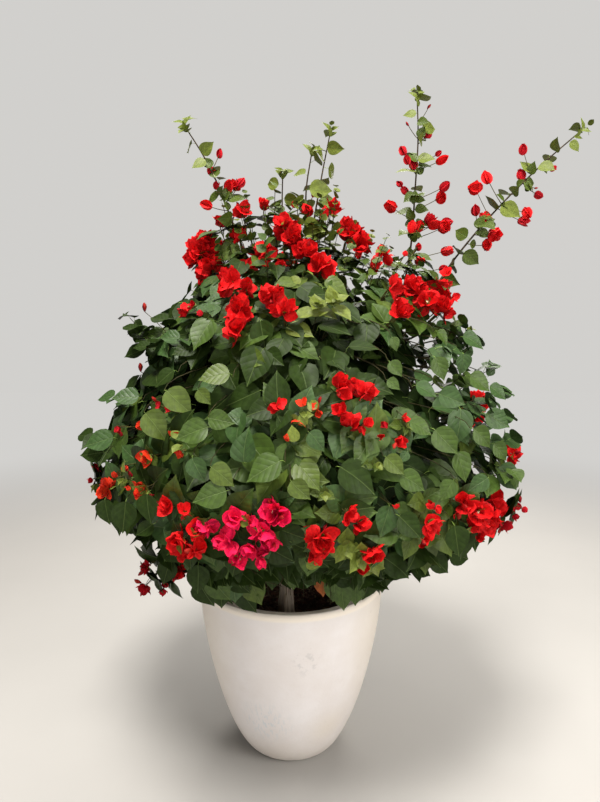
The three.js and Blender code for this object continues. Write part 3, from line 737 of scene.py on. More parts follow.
def lathe(profile, segments, wobble=None):
    """The rows of a turned shape. A profile is a list of distances from the axis with heights."""
    rows = []
    for distance, height in profile:
        if distance == 0:
            rows.append([Vector((0, 0, height))])
            continue
        row = [around_axis(2 * math.pi * k / segments, distance, height) for k in range(segments)]
        rows.append([wobble(place) for place in row] if wobble else row)
    return rows


def rings_along(path, count):
    """The middles of rings along a path, each with two directions square to it that don't twist."""
    rings = []
    side = across_from(path.way(0), Vector((0, 1, 0)))
    for k in range(count + 1):
        way = path.way(k / count)
        side = (side - way * side.dot(way)).normalized()
        rings.append((path.at(k / count), side, way.cross(side)))
    return rings


# Node trees


class Value:
    """A socket that plain arithmetic works on."""

    def __init__(self, tree, socket):
        self.tree = tree
        self.socket = socket

    def other(self, name):
        return Value(self.tree, self.socket.node.outputs[name])

    def maths(self, operation, *others, swap=False):
        values = (*others, self) if swap else (self, *others)
        return self.tree.node("ShaderNodeMath", dict(enumerate(values)), operation=operation)

    def __add__(self, other):
        return self.maths("ADD", other)

    def __sub__(self, other):
        return self.maths("SUBTRACT", other)

    def __mul__(self, other):
        return self.maths("MULTIPLY", other)

    def __pow__(self, other):
        return self.maths("POWER", other)

    def __rsub__(self, other):
        return self.maths("SUBTRACT", other, swap=True)

    __radd__ = __add__
    __rmul__ = __mul__

    def smooth(self, low, high):
        """Rises softly from 0 at one value to 1 at another."""
        sockets = {"Value": self, "From Min": low, "From Max": high}
        return self.tree.node("ShaderNodeMapRange", sockets, interpolation_type="SMOOTHSTEP")

    def under(self, limit):
        return self.maths("LESS_THAN", limit)


class Tree:
    """A node tree that is built by plain calls."""

    def __init__(self, tree):
        self.tree = tree

    def node(self, kind, sockets=None, output=0, **settings):
        """A new node: its settings first, then its sockets' values or links."""
        made = self.tree.nodes.new(kind)
        for name, value in settings.items():
            setattr(made, name, value)
        for key, value in (sockets or {}).items():
            if isinstance(value, Value):
                self.tree.links.new(value.socket, made.inputs[key])
            else:
                made.inputs[key].default_value = value
        return Value(self, made.outputs[output]) if made.outputs else None

    def blend(self, share, first, second):
        """A mix of two colours, each a socket or red, green and blue."""
        colours = [each if isinstance(each, Value) else (*each[:3], 1) for each in (first, second)]
        sockets = {0: share, 6: colours[0], 7: colours[1]}
        return self.node("ShaderNodeMix", sockets, output=2, data_type="RGBA")

    def noise(self, place, scale, detail=3, roughness=0.5, stretch=None):
        """Smooth noise from 0 to 1, with its places stretched first."""
        if stretch is not None:
            place = self.node("ShaderNodeVectorMath", {0: place, 1: stretch}, operation="MULTIPLY")
        sockets = {"Vector": place, "Scale": scale, "Detail": detail, "Roughness": roughness}
        return self.node("ShaderNodeTexNoise", sockets)

    def bump(self, height, distance, strength=1):
        sockets = {"Height": height, "Distance": distance, "Strength": strength}
        return self.node("ShaderNodeBump", sockets)

    def object_place(self):
        return self.node("ShaderNodeTexCoord", output="Object")

    def spot(self, place, centre, radius):
        """1 at a place, fading to 0 at a distance."""
        sockets = {0: place, 1: centre}
        away = self.node("ShaderNodeVectorMath", sockets, output="Value", operation="DISTANCE")
        return 1 - away.smooth(0, radius)


def new_material(name, pattern, **uniform):
    """A material whose pattern gives sockets of its shader; the uniform values are set on it by name."""
    material = bpy.data.materials.new(name)
    material.use_nodes = True
    material.node_tree.nodes.clear()
    tree = Tree(material.node_tree)
    sockets = {key.replace("_", " ").title().replace("Ior", "IOR"): value for key, value in uniform.items()}
    shader = tree.node("ShaderNodeBsdfPrincipled", {**sockets, **pattern(tree)})
    tree.node("ShaderNodeOutputMaterial", {"Surface": shader})
    return material


def new_group(name, inputs):
    """A geometry node group with a mesh in and out, and named inputs; its tree and its inputs' sockets."""
    group = bpy.data.node_groups.new(name, "GeometryNodeTree")
    group.interface.new_socket("Geometry", in_out="INPUT", socket_type="NodeSocketGeometry")
    for label, kind in inputs.items():
        group.interface.new_socket(label, in_out="INPUT", socket_type=kind)
    group.interface.new_socket("Geometry", in_out="OUTPUT", socket_type="NodeSocketGeometry")
    tree = Tree(group)
    return group, tree, tree.node("NodeGroupInput")


def finish_group(tree, given, geometry):
    """Ends a group with real geometry in its material."""
    real = tree.node("GeometryNodeRealizeInstances", {"Geometry": geometry})
    sockets = {"Geometry": real, "Material": given.other("Material")}
    tree.node("NodeGroupOutput", {0: tree.node("GeometryNodeSetMaterial", sockets)})


def finish_with_shapes(tree, given, points, pick, turn, scale):
    """Ends a group with one of its collection's shapes at each point."""
    sockets = {"Collection": given.other("Shapes"), "Separate Children": True, "Reset Children": True}
    sockets = {
        "Points": points,
        "Instance": tree.node("GeometryNodeCollectionInfo", sockets),
        "Pick Instance": True,
        "Instance Index": pick,
        "Rotation": tree.node("FunctionNodeEulerToRotation", {0: turn}),
        "Scale": scale,
    }
    finish_group(tree, given, tree.node("GeometryNodeInstanceOnPoints", sockets))


def stored(tree, name, kind):
    return tree.node("GeometryNodeInputNamedAttribute", {"Name": name}, data_type=kind)


@cache
def limbs_group():
    """Round limbs along lines, as thick as each line says at each place."""
    inputs = {"Sides": "NodeSocketInt", "Material": "NodeSocketMaterial"}
    group, tree, given = new_group("Limbs along lines", inputs)
    lines = tree.node("GeometryNodeMeshToCurve", {"Mesh": given.other("Geometry")})
    circle = {"Resolution": given.other("Sides"), "Radius": 1.0}
    section = tree.node("GeometryNodeCurvePrimitiveCircle", circle)
    thickness = stored(tree, "thickness", "FLOAT")
    sockets = {"Curve": lines, "Profile Curve": section, "Scale": thickness, "Fill Caps": True}
    limbs = tree.node("GeometryNodeCurveToMesh", sockets)
    finish_group(tree, given, tree.node("GeometryNodeSetShadeSmooth", {"Geometry": limbs}))
    return group


@cache
def placed_group():
    """One of a collection's shapes at each point, turned and sized as the point says."""
    inputs = {"Shapes": "NodeSocketCollection", "Material": "NodeSocketMaterial"}
    group, tree, given = new_group("Shapes on points", inputs)
    pick = stored(tree, "shape", "INT")
    turn = stored(tree, "turn", "FLOAT_VECTOR")
    finish_with_shapes(tree, given, given.other("Geometry"), pick, turn, stored(tree, "size", "FLOAT"))
    return group


@cache
def litter_group():
    """A surface strewn with a collection's shapes, by a fixed seed."""
    inputs = {
        "Shapes": "NodeSocketCollection",
        "Density": "NodeSocketFloat",
        "Largest": "NodeSocketFloat",
        "Seed": "NodeSocketInt",
        "Material": "NodeSocketMaterial",
    }
    group, tree, given = new_group("Litter on a surface", inputs)
    seed = given.other("Seed")
    sockets = {"Mesh": given.other("Geometry"), "Density": given.other("Density"), "Seed": seed}
    points = tree.node("GeometryNodeDistributePointsOnFaces", sockets)
    full_turn = {0: (-math.pi,) * 3, 1: (math.pi,) * 3, "Seed": seed}
    turn = tree.node("FunctionNodeRandomValue", full_turn, data_type="FLOAT_VECTOR")
    sizes = {2: LITTER.least, 3: 1.0, "Seed": seed + 1}
    size = tree.node("FunctionNodeRandomValue", sizes, output=1, data_type="FLOAT")
    pick = tree.node("FunctionNodeRandomValue", {4: 0, 5: LITTER.picks}, output=2, data_type="INT")
    finish_with_shapes(tree, given, points, pick, turn, size * given.other("Largest"))
    return group


def shaped_by(source, group, name, **inputs):
    """The plain mesh that a node group makes of an object, as a new object. The first object is removed."""
    modifier = source.modifiers.new(group.name, "NODES")
    modifier.node_group = group
    for item in group.interface.items_tree:
        if item.in_out == "INPUT" and item.name in inputs:
            modifier[item.identifier] = inputs[item.name]
    made = source.evaluated_get(bpy.context.evaluated_depsgraph_get())
    mesh = bpy.data.meshes.new_from_object(made)
    bpy.data.objects.remove(source)
    for spare in ("turn", "size", "shape", "thickness"):
        if spare in mesh.attributes:
            mesh.attributes.remove(mesh.attributes[spare])
    mesh.name = name
    return add_object(name, mesh)


def limbs_along(lines, name, material, sides=5):
    """Round limbs along lines, each a list of places and a list of thicknesses."""
    mesh = bpy.data.meshes.new(name)
    places, edges, radii = [], [], []
    for line, thickness in lines:
        first = len(places)
        places.extend(line)
        radii.extend(thickness)
        edges.extend((first + k, first + k + 1) for k in range(len(line) - 1))
    mesh.from_pydata(places, edges, [])
    mesh.attributes.new("thickness", "FLOAT", "POINT").data.foreach_set("value", radii)
    return shaped_by(add_object(name, mesh), limbs_group(), name, Sides=sides, Material=material)


def shapes_at(spots, shapes, name, material):
    """A shape at each spot, which has a place, a turn, a size and the number of its shape."""
    mesh = bpy.data.meshes.new(name)
    mesh.from_pydata([spot.place for spot in spots], [], [])
    turns = [number for spot in spots for number in spot.turn.to_euler()]
    mesh.attributes.new("turn", "FLOAT_VECTOR", "POINT").data.foreach_set("vector", turns)
    mesh.attributes.new("size", "FLOAT", "POINT").data.foreach_set("value", [spot.size for spot in spots])
    mesh.attributes.new("shape", "INT", "POINT").data.foreach_set("value", [spot.shape for spot in spots])
    return shaped_by(add_object(name, mesh), placed_group(), name, Shapes=shapes, Material=material)


def shape_collection(name, meshes):
    """A collection of shapes to place; it isn't linked to the scene."""
    shapes = bpy.data.collections.new(name)
    for number, mesh in enumerate(meshes):
        shapes.objects.link(bpy.data.objects.new(f"{name}_{number:02}", mesh))
    return shapes


def drop_collection(shapes):
    for thing in list(shapes.objects):
        mesh = thing.data
        bpy.data.objects.remove(thing)
        bpy.data.meshes.remove(mesh)
    bpy.data.collections.remove(shapes)


# The crown's plan, by the same rule as the solids


def crown_reach(height, azimuth):
    """How far the crown reaches from its axis at a height and an azimuth."""
    level = clamp(height, CROWN_ROWS[0][0], CROWN_ROWS[-1][0])
    row = 0
    while row < len(CROWN_ROWS) - 2 and CROWN_ROWS[row + 1][0] <= level:
        row += 1
    below, above = CROWN_ROWS[row], CROWN_ROWS[row + 1]
    share = (level - below[0]) / (above[0] - below[0])
    right, left, depth = (mix(a, b, share) for a, b in zip(below[1:], above[1:]))
    sideways = math.cos(azimuth) ** 2
    return sideways * (right if math.cos(azimuth) > 0 else left) + (1 - sideways) * depth


def crown_depth(place):
    """How far inside the crown's outline a place is, level with it, or below its top."""
    reach = crown_reach(place.z, math.atan2(place.y, place.x))
    level = reach - math.hypot(place.x, place.y)
    return min(level, CROWN_ROWS[-1][0] - place.z, place.z - CROWN_ROWS[0][0])


def crown_seen_at(across, down):
    """The place on the crown's front, or just before its edge, that shows at a place in the photograph."""
    depth = SIGHT_START
    while depth < -EDGE_DEPTH and crown_depth(seen_at(across, down, depth)) < -SIGHT_SHORT:
        depth += SIGHT_STEP
    return seen_at(across, down, depth)


def plan_masses():
    """Each mass: its centre, the walls of its cell, its seed, and where its bough forks off."""
    masses = []
    for ring in RINGS:
        for k in range(ring["count"]):
            azimuth = math.radians(ring["first"] + 360 * k / ring["count"])
            distance = ring["share"] * crown_reach(ring["height"], azimuth)
            centre = around_axis(azimuth, distance, ring["height"])
            fork = ring["fork"] + FORK_RISE * (2 * k % ring["count"])
            masses.append(SimpleNamespace(centre=centre, fork=fork, foot=ring["bough"]))
    masses.append(SimpleNamespace(centre=Vector((0, 0, TOP_HEIGHT)), fork=None))
    for number, mass in enumerate(masses):
        mass.seed = MASS_SEED + SEED_STEP * number
        mass.walls = []
        for other in masses:
            if other is not mass:
                normal = (other.centre - mass.centre).normalized()
                middle = (other.centre + mass.centre) / 2
                mass.walls.append((normal, normal.dot(middle) - CELL_MARGIN))
    return masses


def inside_cell(mass, place, overlap=0):
    return all(normal.dot(place) <= offset + overlap for normal, offset in mass.walls)


def cell_reach(mass, direction):
    """How far it is from a mass's centre to its cell's border and to the crown's outline."""
    outline = 0
    while crown_depth(mass.centre + direction * outline) > 0:
        outline += REACH_STEP
    border = math.inf
    for normal, offset in mass.walls:
        slope = normal.dot(direction)
        if slope > 0:
            border = min(border, (offset - normal.dot(mass.centre)) / slope)
    return border, outline


def trunk_radius(share, angle):
    """The trunk's radius, with its root flare and shallow ribs that fade towards the tip."""
    height = share * (TRUNK_AXIS[-1][2] - SOIL_TOP)
    taper = mix(TRUNK_RADIUS, TRUNK_TIP_RADIUS, share**TRUNK_TAPER)
    flare = FLARE * math.exp(-height / FLARE_HEIGHT)
    return (taper + flare) * (1 + RIB_DEPTH * (1 - share) * math.cos(RIBS * angle))


def plan_bough(mass, trunk):
    """The line of a mass's bough from the trunk, and the place where it enters the mass."""
    if mass.fork is None:
        mass.entry = trunk.at(1)
        mass.entry_way = trunk.way(1)
        mass.bough = None
        return
    shares = (k / FORK_STEPS for k in range(FORK_STEPS + 1))
    foot = next(trunk.at(share) for share in shares if trunk.at(share).z >= mass.fork)
    bend = foot.lerp(mass.centre, BOUGH_BEND)
    bend.z = mix(foot.z, mass.centre.z, BOUGH_LIFT)
    way = (mass.centre - bend).normalized()
    border, outline = cell_reach(mass, -way)
    inner = CORE_SHARE * min(border, outline)
    mass.entry = mass.centre - way * (inner + STEM)
    mass.entry_way = way
    mass.bough = bent(foot, bend, mass.entry, STEPS.bough)


@cache
def crown_plan():
    trunk = Path(TRUNK_AXIS)
    masses = plan_masses()
    for mass in masses:
        plan_bough(mass, trunk)
    return trunk, masses


# Twigs and leaves


def add_limb(limbs, line, foot, tip):
    """Adds a limb along a line that tapers from its foot to its tip."""
    last = len(line) - 1
    limbs.append((line, [mix(foot, tip, k / last) for k in range(last + 1)]))


def leaf_tone(place, random):
    """A spray's colour: dark, as painted shade, and bluish in the left and low parts, olive above, and some
    young ones.
    """
    chance = random()
    if place.z < LOW_PART:
        part = "low"
    elif place.z > HIGH_PART and place.x < HIGH_RIGHT:
        part = "high_left" if place.x < HIGH_LEFT else "high_middle"
    else:
        part = "right" if place.x > RIGHT_PART else "middle"
    return next(tone for limit, tone in TONES[part] if chance < limit)


def in_front_gap(place):
    gap = FRONT_GAP
    ceiling = gap.top - gap.slope * (place.y - gap.rim)
    return gap.left < place.x < gap.right and place.y < gap.back and place.z < ceiling


def in_planter(place):
    reach = POT_RADIUS + PLANTER_ROOM
    return place.z < POT_HEIGHT + PLANTER_ROOM and math.hypot(place.x, place.y) < reach


def spot_at(place, way, facing, size, shape=0, tone=None):
    """Where a shape stands: its place, turn and size, the shape's number and a leaf's colour."""
    return SimpleNamespace(place=place, turn=standing(way, facing), size=size, shape=shape, tone=tone)


def grow_leaf(root, twig_way, side, tone, size, random, plant):
    """Adds a leaf on a twig, its blade facing out and up with its tip hanging, where it fits."""
    level = Vector((root.x, root.y, 0))
    outward = level.normalized() if level.length > STANCE.axis else FRONT
    height = clamp((root.z - STANCE.top_from) / STANCE.top_by)
    facing = outward * mix(*STANCE.face_out, height) + UP * mix(*STANCE.face_up, height)
    facing += random_way(random) * STANCE.face_stray
    facing += FRONT * (FRONT_SHARE * clamp((FRONT_FROM - root.y) / FRONT_BY))
    facing.normalize()
    aside = outward.cross(UP) * side
    way = UP * STANCE.tip_down + aside * (STANCE.tip_aside + STANCE.tip_aside_range * random())
    way += outward * mix(*STANCE.tip_out, height)
    way += twig_way * STANCE.tip_along + random_way(random) * STANCE.tip_stray
    leaf = spot_at(root, way - facing * way.dot(facing), facing, size, tone=tone)
    tip = root + leaf.turn @ Vector((0, LEAF_REACH * size, LEAF_STALK * size))
    if crown_depth(tip) < -LEAF_BEYOND or any(in_planter(end) or in_front_gap(end) for end in (root, tip)):
        return
    leaf.shape = int(random() * LEAF_SHAPES)
    plant.leaves.append(leaf)


def leaf_size(settings, place, random):
    """A leaf's length: longest at the left and low down, shortest at the top."""
    share = mix(*LENGTHS.by_height, clamp((place.z - LENGTHS.low) / LENGTHS.rise))
    share *= mix(*LENGTHS.by_side, clamp(place.x - LENGTHS.left))
    away = (place - LARGE_LEAVES.middle).length / LARGE_LEAVES.reach
    share *= 1 + LARGE_LEAVES.growth * math.exp(-away * away)
    low = LOW_LEAVES
    share *= mix(low.share, 1, clamp((place.z - low.end) / (low.start - low.end)))
    return settings.leaf_length * (LENGTHS.least + LENGTHS.range * random()) * share


def grow_fine_twig(mass, root, way, length, settings, random, plant):
    """A fine twig with its leaves, inside the crown and its mass's cell."""
    for share in FINE_TRIES:
        end = root + way * (length * share)
        margin = TWIG_MARGIN + LUMP_DEPTH * noise.noise(end * LUMP_SCALE)
        if crown_depth(end) > margin and inside_cell(mass, end, CELL_OVERLAP) and not in_planter(end):
            break
    else:
        return
    if in_front_gap(end):
        return
    if crown_depth(end) > INNER_DEPTH and random() > INNER_SHARE:
        return
    airy = AIRY.share * clamp((end.x - AIRY.right) / AIRY.by) * clamp((end.y - AIRY.back) / AIRY.by)
    if end.z > AIRY.above and random() < airy:
        return
    length *= share
    bend = root.lerp(end, 0.5) + random_way(random) * (FINE_SWAY * length)
    add_limb(plant.twigs, bent(root, bend, end, STEPS.fine), TWIG_TIP, FINE_TIP)
    tone = leaf_tone(end, random)
    # Painted shade: leaves deep inside the crown take the darker inner colour
    if crown_depth(end) > PAINTED_SHADE_DEPTH:
        tone = "inner"
    size_share = LENGTHS.young if tone == "young" else 1
    count = max(2, round(length * (1 - LEAF_START) / LEAF_SPACING))
    for k in range(count + 1):
        place = bent_at(root, bend, end, mix(LEAF_START, 1, k / count))
        size = size_share * leaf_size(settings, place, random)
        grow_leaf(place, way, 1 if k % 2 else -1, tone, size, random, plant)


def grow_mass(mass, settings, plant):
    """The stem, the main twigs in the solids' directions and the finer twigs of a mass."""
    random = seeded_random(mass.seed)
    turn = 2 * math.pi * random()
    stem = [mass.entry, mass.entry.lerp(mass.centre, 0.5), mass.centre]
    add_limb(plant.twigs, stem, BOUGH_TIP, TWIG_FOOT)
    for k in range(TWIG_DIRECTIONS):
        height = 1 - (2 * k + 1) / TWIG_DIRECTIONS
        direction = around_axis(k * GOLDEN_ANGLE + turn, math.sqrt(1 - height * height), height)
        border, outline = cell_reach(mass, direction)
        length = TWIG_SHARE * min(border, outline)
        if outline > BORDER * border:
            length *= BORDER_SHARE
        start = mass.entry.lerp(mass.centre, mix(TWIG_START, 1, random()))
        end = mass.centre + direction * length
        bend = start.lerp(end, 0.5) + mass.entry_way * (TWIG_BEND * length)
        add_limb(plant.twigs, bent(start, bend, end, STEPS.twig), TWIG_FOOT, TWIG_TIP)
        spin = 2 * math.pi * random()
        along = (end - start).normalized()
        for n in range(settings.fine_twigs):
            share = mix(FINE_FROM, 1, (n + random()) / settings.fine_twigs)
            root = bent_at(start, bend, end, share)
            aside = aside_from(along, n * GOLDEN_ANGLE + spin)
            opening = FINE_OPENING * (OPENING_LEAST + OPENING_RANGE * random())
            way = along * math.cos(opening) + aside * math.sin(opening) + UP * FINE_LIFT
            reach = FINE_SHORTEST + FINE_RANGE * random()
            grow_fine_twig(mass, root, way.normalized(), reach, settings, random, plant)


def grow_sprig(tip, tone, size, random, plant):
    """A loose twig out of the crown, with leaves along its outer half."""
    inward = (CROWN_HEART - tip).normalized()
    foot = tip + (inward - UP * SPRIG.slope).normalized() * SPRIG.length
    bend = foot.lerp(tip, 0.5) + UP * SPRIG.rise + random_way(random) * SPRIG.sway
    add_limb(plant.twigs, bent(foot, bend, tip, STEPS.twig), SPRIG.foot, FINE_TIP)
    for k in range(SPRIG.leaves):
        share = mix(SPRIG.bare, 1, k / (SPRIG.leaves - 1))
        place = bent_at(foot, bend, tip, share)
        aside = inward.cross(UP).normalized() * (1 if k % 2 else -1)
        way = aside + UP * mix(*SPRIG.tip_up, random()) - inward * mix(*SPRIG.tip_out, share)
        way += random_way(random) * SPRIG.tip_stray
        facing = UP * SPRIG.facing - inward * SPRIG.facing + FRONT * FRONT_SHARE
        facing += random_way(random) * SPRIG.facing
        length = size * mix(*SPRIG.lengths, share) * mix(*SPRIG.spread, random())
        plant.leaves.append(spot_at(place, way, facing, length, int(random() * LEAF_SHAPES), tone))


def grow_skirt(settings, random, plant):
    """Short twigs with hanging leaves all round the planter's rim, apart from the gap at the front."""
    for k in range(SKIRT.twigs):
        azimuth = 2 * math.pi * (k + random()) / SKIRT.twigs
        root = around_axis(azimuth, mix(*SKIRT.foot_out, random()), mix(*SKIRT.foot_up, random()))
        azimuth += mix(*SKIRT.end_aside, random())
        end = around_axis(azimuth, mix(*SKIRT.end_out, random()), mix(*SKIRT.end_up, random()))
        tone = leaf_tone(end, random)
        line = bent(root, end + UP * SKIRT.arch, end, STEPS.hanging)
        add_limb(plant.twigs, line, TWIG_TIP, FINE_TIP)
        for n in range(SKIRT.leaves):
            place = root.lerp(end, mix(SKIRT.bare, 1, n / (SKIRT.leaves - 1)))
            size = leaf_size(settings, place, random)
            grow_leaf(place, (end - root).normalized(), 1 if n % 2 else -1, tone, size, random, plant)


def hang_leaf(root, tip, tone, shape, plant, facing):
    """One leaf from the foot of its stalk to its tip, and its twig."""
    way = tip - root
    plant.leaves.append(spot_at(root, way, facing, way.length / HANG_LENGTH, shape, tone))
    level = Vector((root.x, root.y, 0)) * HANG_IN
    line = bent(root - level + UP * HANG_UP, root + UP * HANG_ARCH, root, STEPS.hanging)
    add_limb(plant.twigs, line, TWIG_TIP, FINE_TIP)


def grow_rosette(place, size, random, plant):
    """A whorl of young leaves, the smallest in the middle, that opens outwards."""
    outward = (place - CROWN_HEART).normalized()
    root = place - outward * ROSETTE.depth
    for k in range(ROSETTE.leaves):
        share = k / (ROSETTE.leaves - 1)
        aside = aside_from(outward, k * GOLDEN_ANGLE)
        way = aside + outward * mix(*ROSETTE.rise, share) + random_way(random) * ROSETTE.stray
        facing = outward + UP * ROSETTE.face_up - aside * (ROSETTE.face_in * share)
        foot = root + outward * (ROSETTE.depth * share)
        length = size * mix(1, ROSETTE.smallest, share)
        tone = "young" if share > 0.5 or size > ROSETTE.bright else "olive"
        plant.leaves.append(spot_at(foot, way, facing, length, k % LEAF_SHAPES, tone))
    twig = [root - outward * inward for inward in ROSETTE.twig]
    add_limb(plant.twigs, [*twig, place], TWIG_TIP, FINE_TIP)


@cache
def grown_plant(leaf_length, fine_twigs):
    """Every twig and leaf of the crown."""
    plant = SimpleNamespace(twigs=[], leaves=[])
    settings = SimpleNamespace(leaf_length=leaf_length, fine_twigs=fine_twigs)
    for mass in crown_plan()[1]:
        grow_mass(mass, settings, plant)
    grow_skirt(settings, seeded_random(SKIRT.seed), plant)
    for number, (root, tip, tone) in enumerate(RIM_LEAVES):
        root = seen_at(*root)
        facing = FRONT + UP * HANG_FACE_UP + Vector((root.x, 0, 0))
        hang_leaf(root, seen_at(*tip), tone, number % LEAF_SHAPES, plant, facing)
    random = seeded_random(SHOWN.seed)
    for tone, rows in SHOWN_LEAVES.items():
        for number, (foot_across, foot_down, across, down) in enumerate(rows):
            middle = crown_seen_at((foot_across + across) / 2, (foot_down + down) / 2)
            root = seen_at(foot_across, foot_down, middle.y)
            tip = seen_at(across, down, middle.y)
            outward = (middle - CROWN_HEART).normalized()
            facing = FRONT * SHOWN.face_front + UP * SHOWN.face_up + outward * SHOWN.face_out
            facing += random_way(random) * SHOWN.face_stray
            hang_leaf(root, tip + outward * SHOWN.tip_out, tone, number % LEAF_SHAPES, plant, facing)
    random = seeded_random(SPRIG.seed)
    for tip, tone, size in SPRIGS:
        grow_sprig(seen_at(*tip), tone, size, random, plant)
    for place, size in ROSETTES:
        grow_rosette(seen_at(*place), size, random, plant)
    for azimuth, distance, height, size in SIDE_ROSETTES:
        grow_rosette(around_axis(math.radians(azimuth), distance, height), size, random, plant)
    return plant


def blade_rows(outline, width, surface):
    """Rows of places on a blade, and on its tile. The surface turns across and along into a place."""
    rows, tiles = [], []
    for along, half in outline:
        steps = LEAF_COLUMNS if half > 0 else (0,)
        rows.append([surface(across * half * width, along) for across in steps])
        tiles.append([(0.5 + 0.49 * across * half, mix(0.01, 0.99, along)) for across in steps])
    return rows, tiles


def leaf_shape(number, seed, width):
    """A leaf one unit long that points along Y and faces Z, on a stalk that rises from the origin."""
    random = seeded_random(seed)
    fold, droop, sway, curl, ripple = (mix(*limits, random()) for limits in BLADE_LIMITS)
    phase = 2 * math.pi * random()
    start = Vector((0, BLADE_START, LEAF_STALK))

    def surface(across, along):
        wave = ripple * math.sin(RIPPLES * along + phase + (2 if across > 0 else 0)) * abs(across) / width
        hang = -droop * along**2 - curl * across**2
        return start + Vector((across + sway * along**2, along, fold * abs(across) + hang + wave))

    shape = Shape()
    shape.skin(*blade_rows(LEAF_OUTLINE, width, surface))
    stalk = bent(Vector((0, 0, 0)), Vector((0, 0, STALK_BEND)), start, STEPS.leaf_stalk)
    rows = []
    for k, place in enumerate(stalk):
        radius = mix(*STALK_RADII, k / STEPS.leaf_stalk)
        row = []
        for angle in (0, 2.1, 4.2):
            across, up = radius * math.cos(angle), radius * math.sin(angle)
            row.append(place + Vector((across, -up * 0.5, up)))
        rows.append(row)
    tiles = [[(0.01 + 0.02 * column, 0.01 + 0.04 * row) for column in range(4)] for row in range(3)]
    shape.skin(rows, tiles, closed=True)
    return shape.mesh(f"leaf_{number}")


def shaded(colour, share):
    """A colour's red, green and blue at a share of their strength."""
    return [channel * share for channel in colour[:3]]


def vein_pattern(tree, count, slope):
    """How near a place on a blade's tile is to a side vein, to the midrib and to the stalk's patch."""
    tile = tree.node("ShaderNodeUVMap", uv_map=BAKE_UV)
    across = tree.node("ShaderNodeSeparateXYZ", {0: tile})
    along = across.other("Y")
    signed = across * 2 - 1
    beside = signed.maths("ABSOLUTE")
    phase = (along - beside * slope) * count + signed.maths("GREATER_THAN", 0.0) * 0.5
    ripple = (phase.maths("FRACT") - 0.5).maths("ABSOLUTE") * 2
    return SimpleNamespace(
        tile=tile,
        ripple=ripple,
        vein=ripple.smooth(0.82, 0.98),
        midrib=1 - beside.smooth(0.012, 0.042),
        stalk=across.under(0.085) * along.under(0.12),
        along=along,
        beside=beside,
    )


def leaf_material(name, colour, light, relief, gloss):
    def pattern(tree):
        veins = vein_pattern(tree, 5, 0.38)
        blotch = tree.noise(veins.tile, 5, detail=2)
        shade = tree.blend(blotch.smooth(0.3, 0.75), shaded(colour, 0.78), shaded(colour, 1.2))
        # Painted shade: the vein grooves darken, the more the deeper the relief
        painted_groove_shade = tree.blend(veins.vein * (relief * PAINTED_GROOVE_SHADE), shade, shaded(colour, 0.5))
        marked = tree.blend(veins.midrib * 0.42, painted_groove_shade, light)
        full = tree.blend(veins.stalk, marked, STALK_COLOUR)
        height = (1 - veins.ripple**2) * 0.5 - veins.midrib * 0.6
        return {"Base Color": full, "Normal": tree.bump(height, relief, 0.6)}

    return new_material(name, pattern, roughness=0.46, specular_ior_level=gloss)


# Blossom


def trio_shape(number, opening, bracts):
    """Three papery bracts round an axis along Z, each a crumpled blade one unit long."""
    random = seeded_random(BRACT_SEED + number)
    shape = Shape()
    for k in range(3):
        turn = 2 * math.pi * k / 3 + 0.5 * random()
        lean = opening * mix(0.8, 1.2, random())
        bend = bracts.cup * mix(0.7, 1.2, random())
        seed = Vector((k * 7.3, 5 * random(), 3 * random()))

        def surface(across, along, turn=turn, lean=lean, bend=bend, seed=seed):
            rise = noise.noise(Vector((across * 6, along * 4.5, 0)) + seed) * bracts.crumple
            tilt = lean - bend * along
            out = 0.05 + along * math.sin(tilt)
            up = along * math.cos(tilt) + rise * (0.3 + along) + 0.35 * across * across
            return Matrix.Rotation(turn, 3, "Z") @ Vector((across, out - 0.4 * across * across, up))

        shape.skin(*blade_rows(BRACT_OUTLINE, bracts.width, surface))
    return shape.mesh(f"trio_{number}")


def bract_material(name, colour, edge):
    def pattern(tree):
        veins = vein_pattern(tree, 9, 0.7)
        crumple = tree.noise(veins.tile, 7, detail=3)
        # Painted shade: the red darkens in the hollows of the crumple that also makes the relief
        shade = tree.blend(crumple.smooth(0.3, 0.7), shaded(colour, 0.72), colour)
        # Lighter, pinker red towards the edges
        edge_tinted = tree.blend(veins.beside.smooth(0.35, 1.0) * 0.45, shade, edge)
        # Painted shade: darker towards the bracts' bases, in the middle of the flower
        painted_heart_shade = tree.blend((1 - veins.along.smooth(0.0, 0.4)) * 0.4, edge_tinted, shaded(colour, 0.5))
        marks = (veins.vein * 0.3).maths("MAXIMUM", veins.midrib * 0.35)
        full = tree.blend(marks, painted_heart_shade, shaded(colour, 0.5))
        return {"Base Color": full, "Normal": tree.bump(crumple + veins.ripple * 0.2, 0.0010, 0.9)}

    return new_material(name, pattern, roughness=0.6, specular_ior_level=0.12)


def bud_shape(name, random):
    """A closed bud one unit long with three blunt ridges."""
    profile = [(0, 0), (0.07, 0.04), (0.16, 0.25), (0.22, 0.5), (0.17, 0.75), (0.06, 0.95), (0, 1)]
    twist = random()
    rows = []
    for distance, height in profile:
        if distance == 0:
            rows.append([Vector((0, height, 0))])
            continue
        row = []
        for k in range(6):
            angle = -2 * math.pi * k / 6
            swell = distance * (1 + 0.25 * (1 if k % 2 else -1))
            twisted = angle + twist * height
            row.append(Vector((swell * math.cos(twisted), height, swell * math.sin(twisted))))
        rows.append(row)
    tiles = [[(k / 6, height) for k in range(len(row) + 1)] for row, (_, height) in zip(rows, profile)]
    shape = Shape()
    shape.skin(rows, tiles, closed=True)
    return shape.mesh(name)


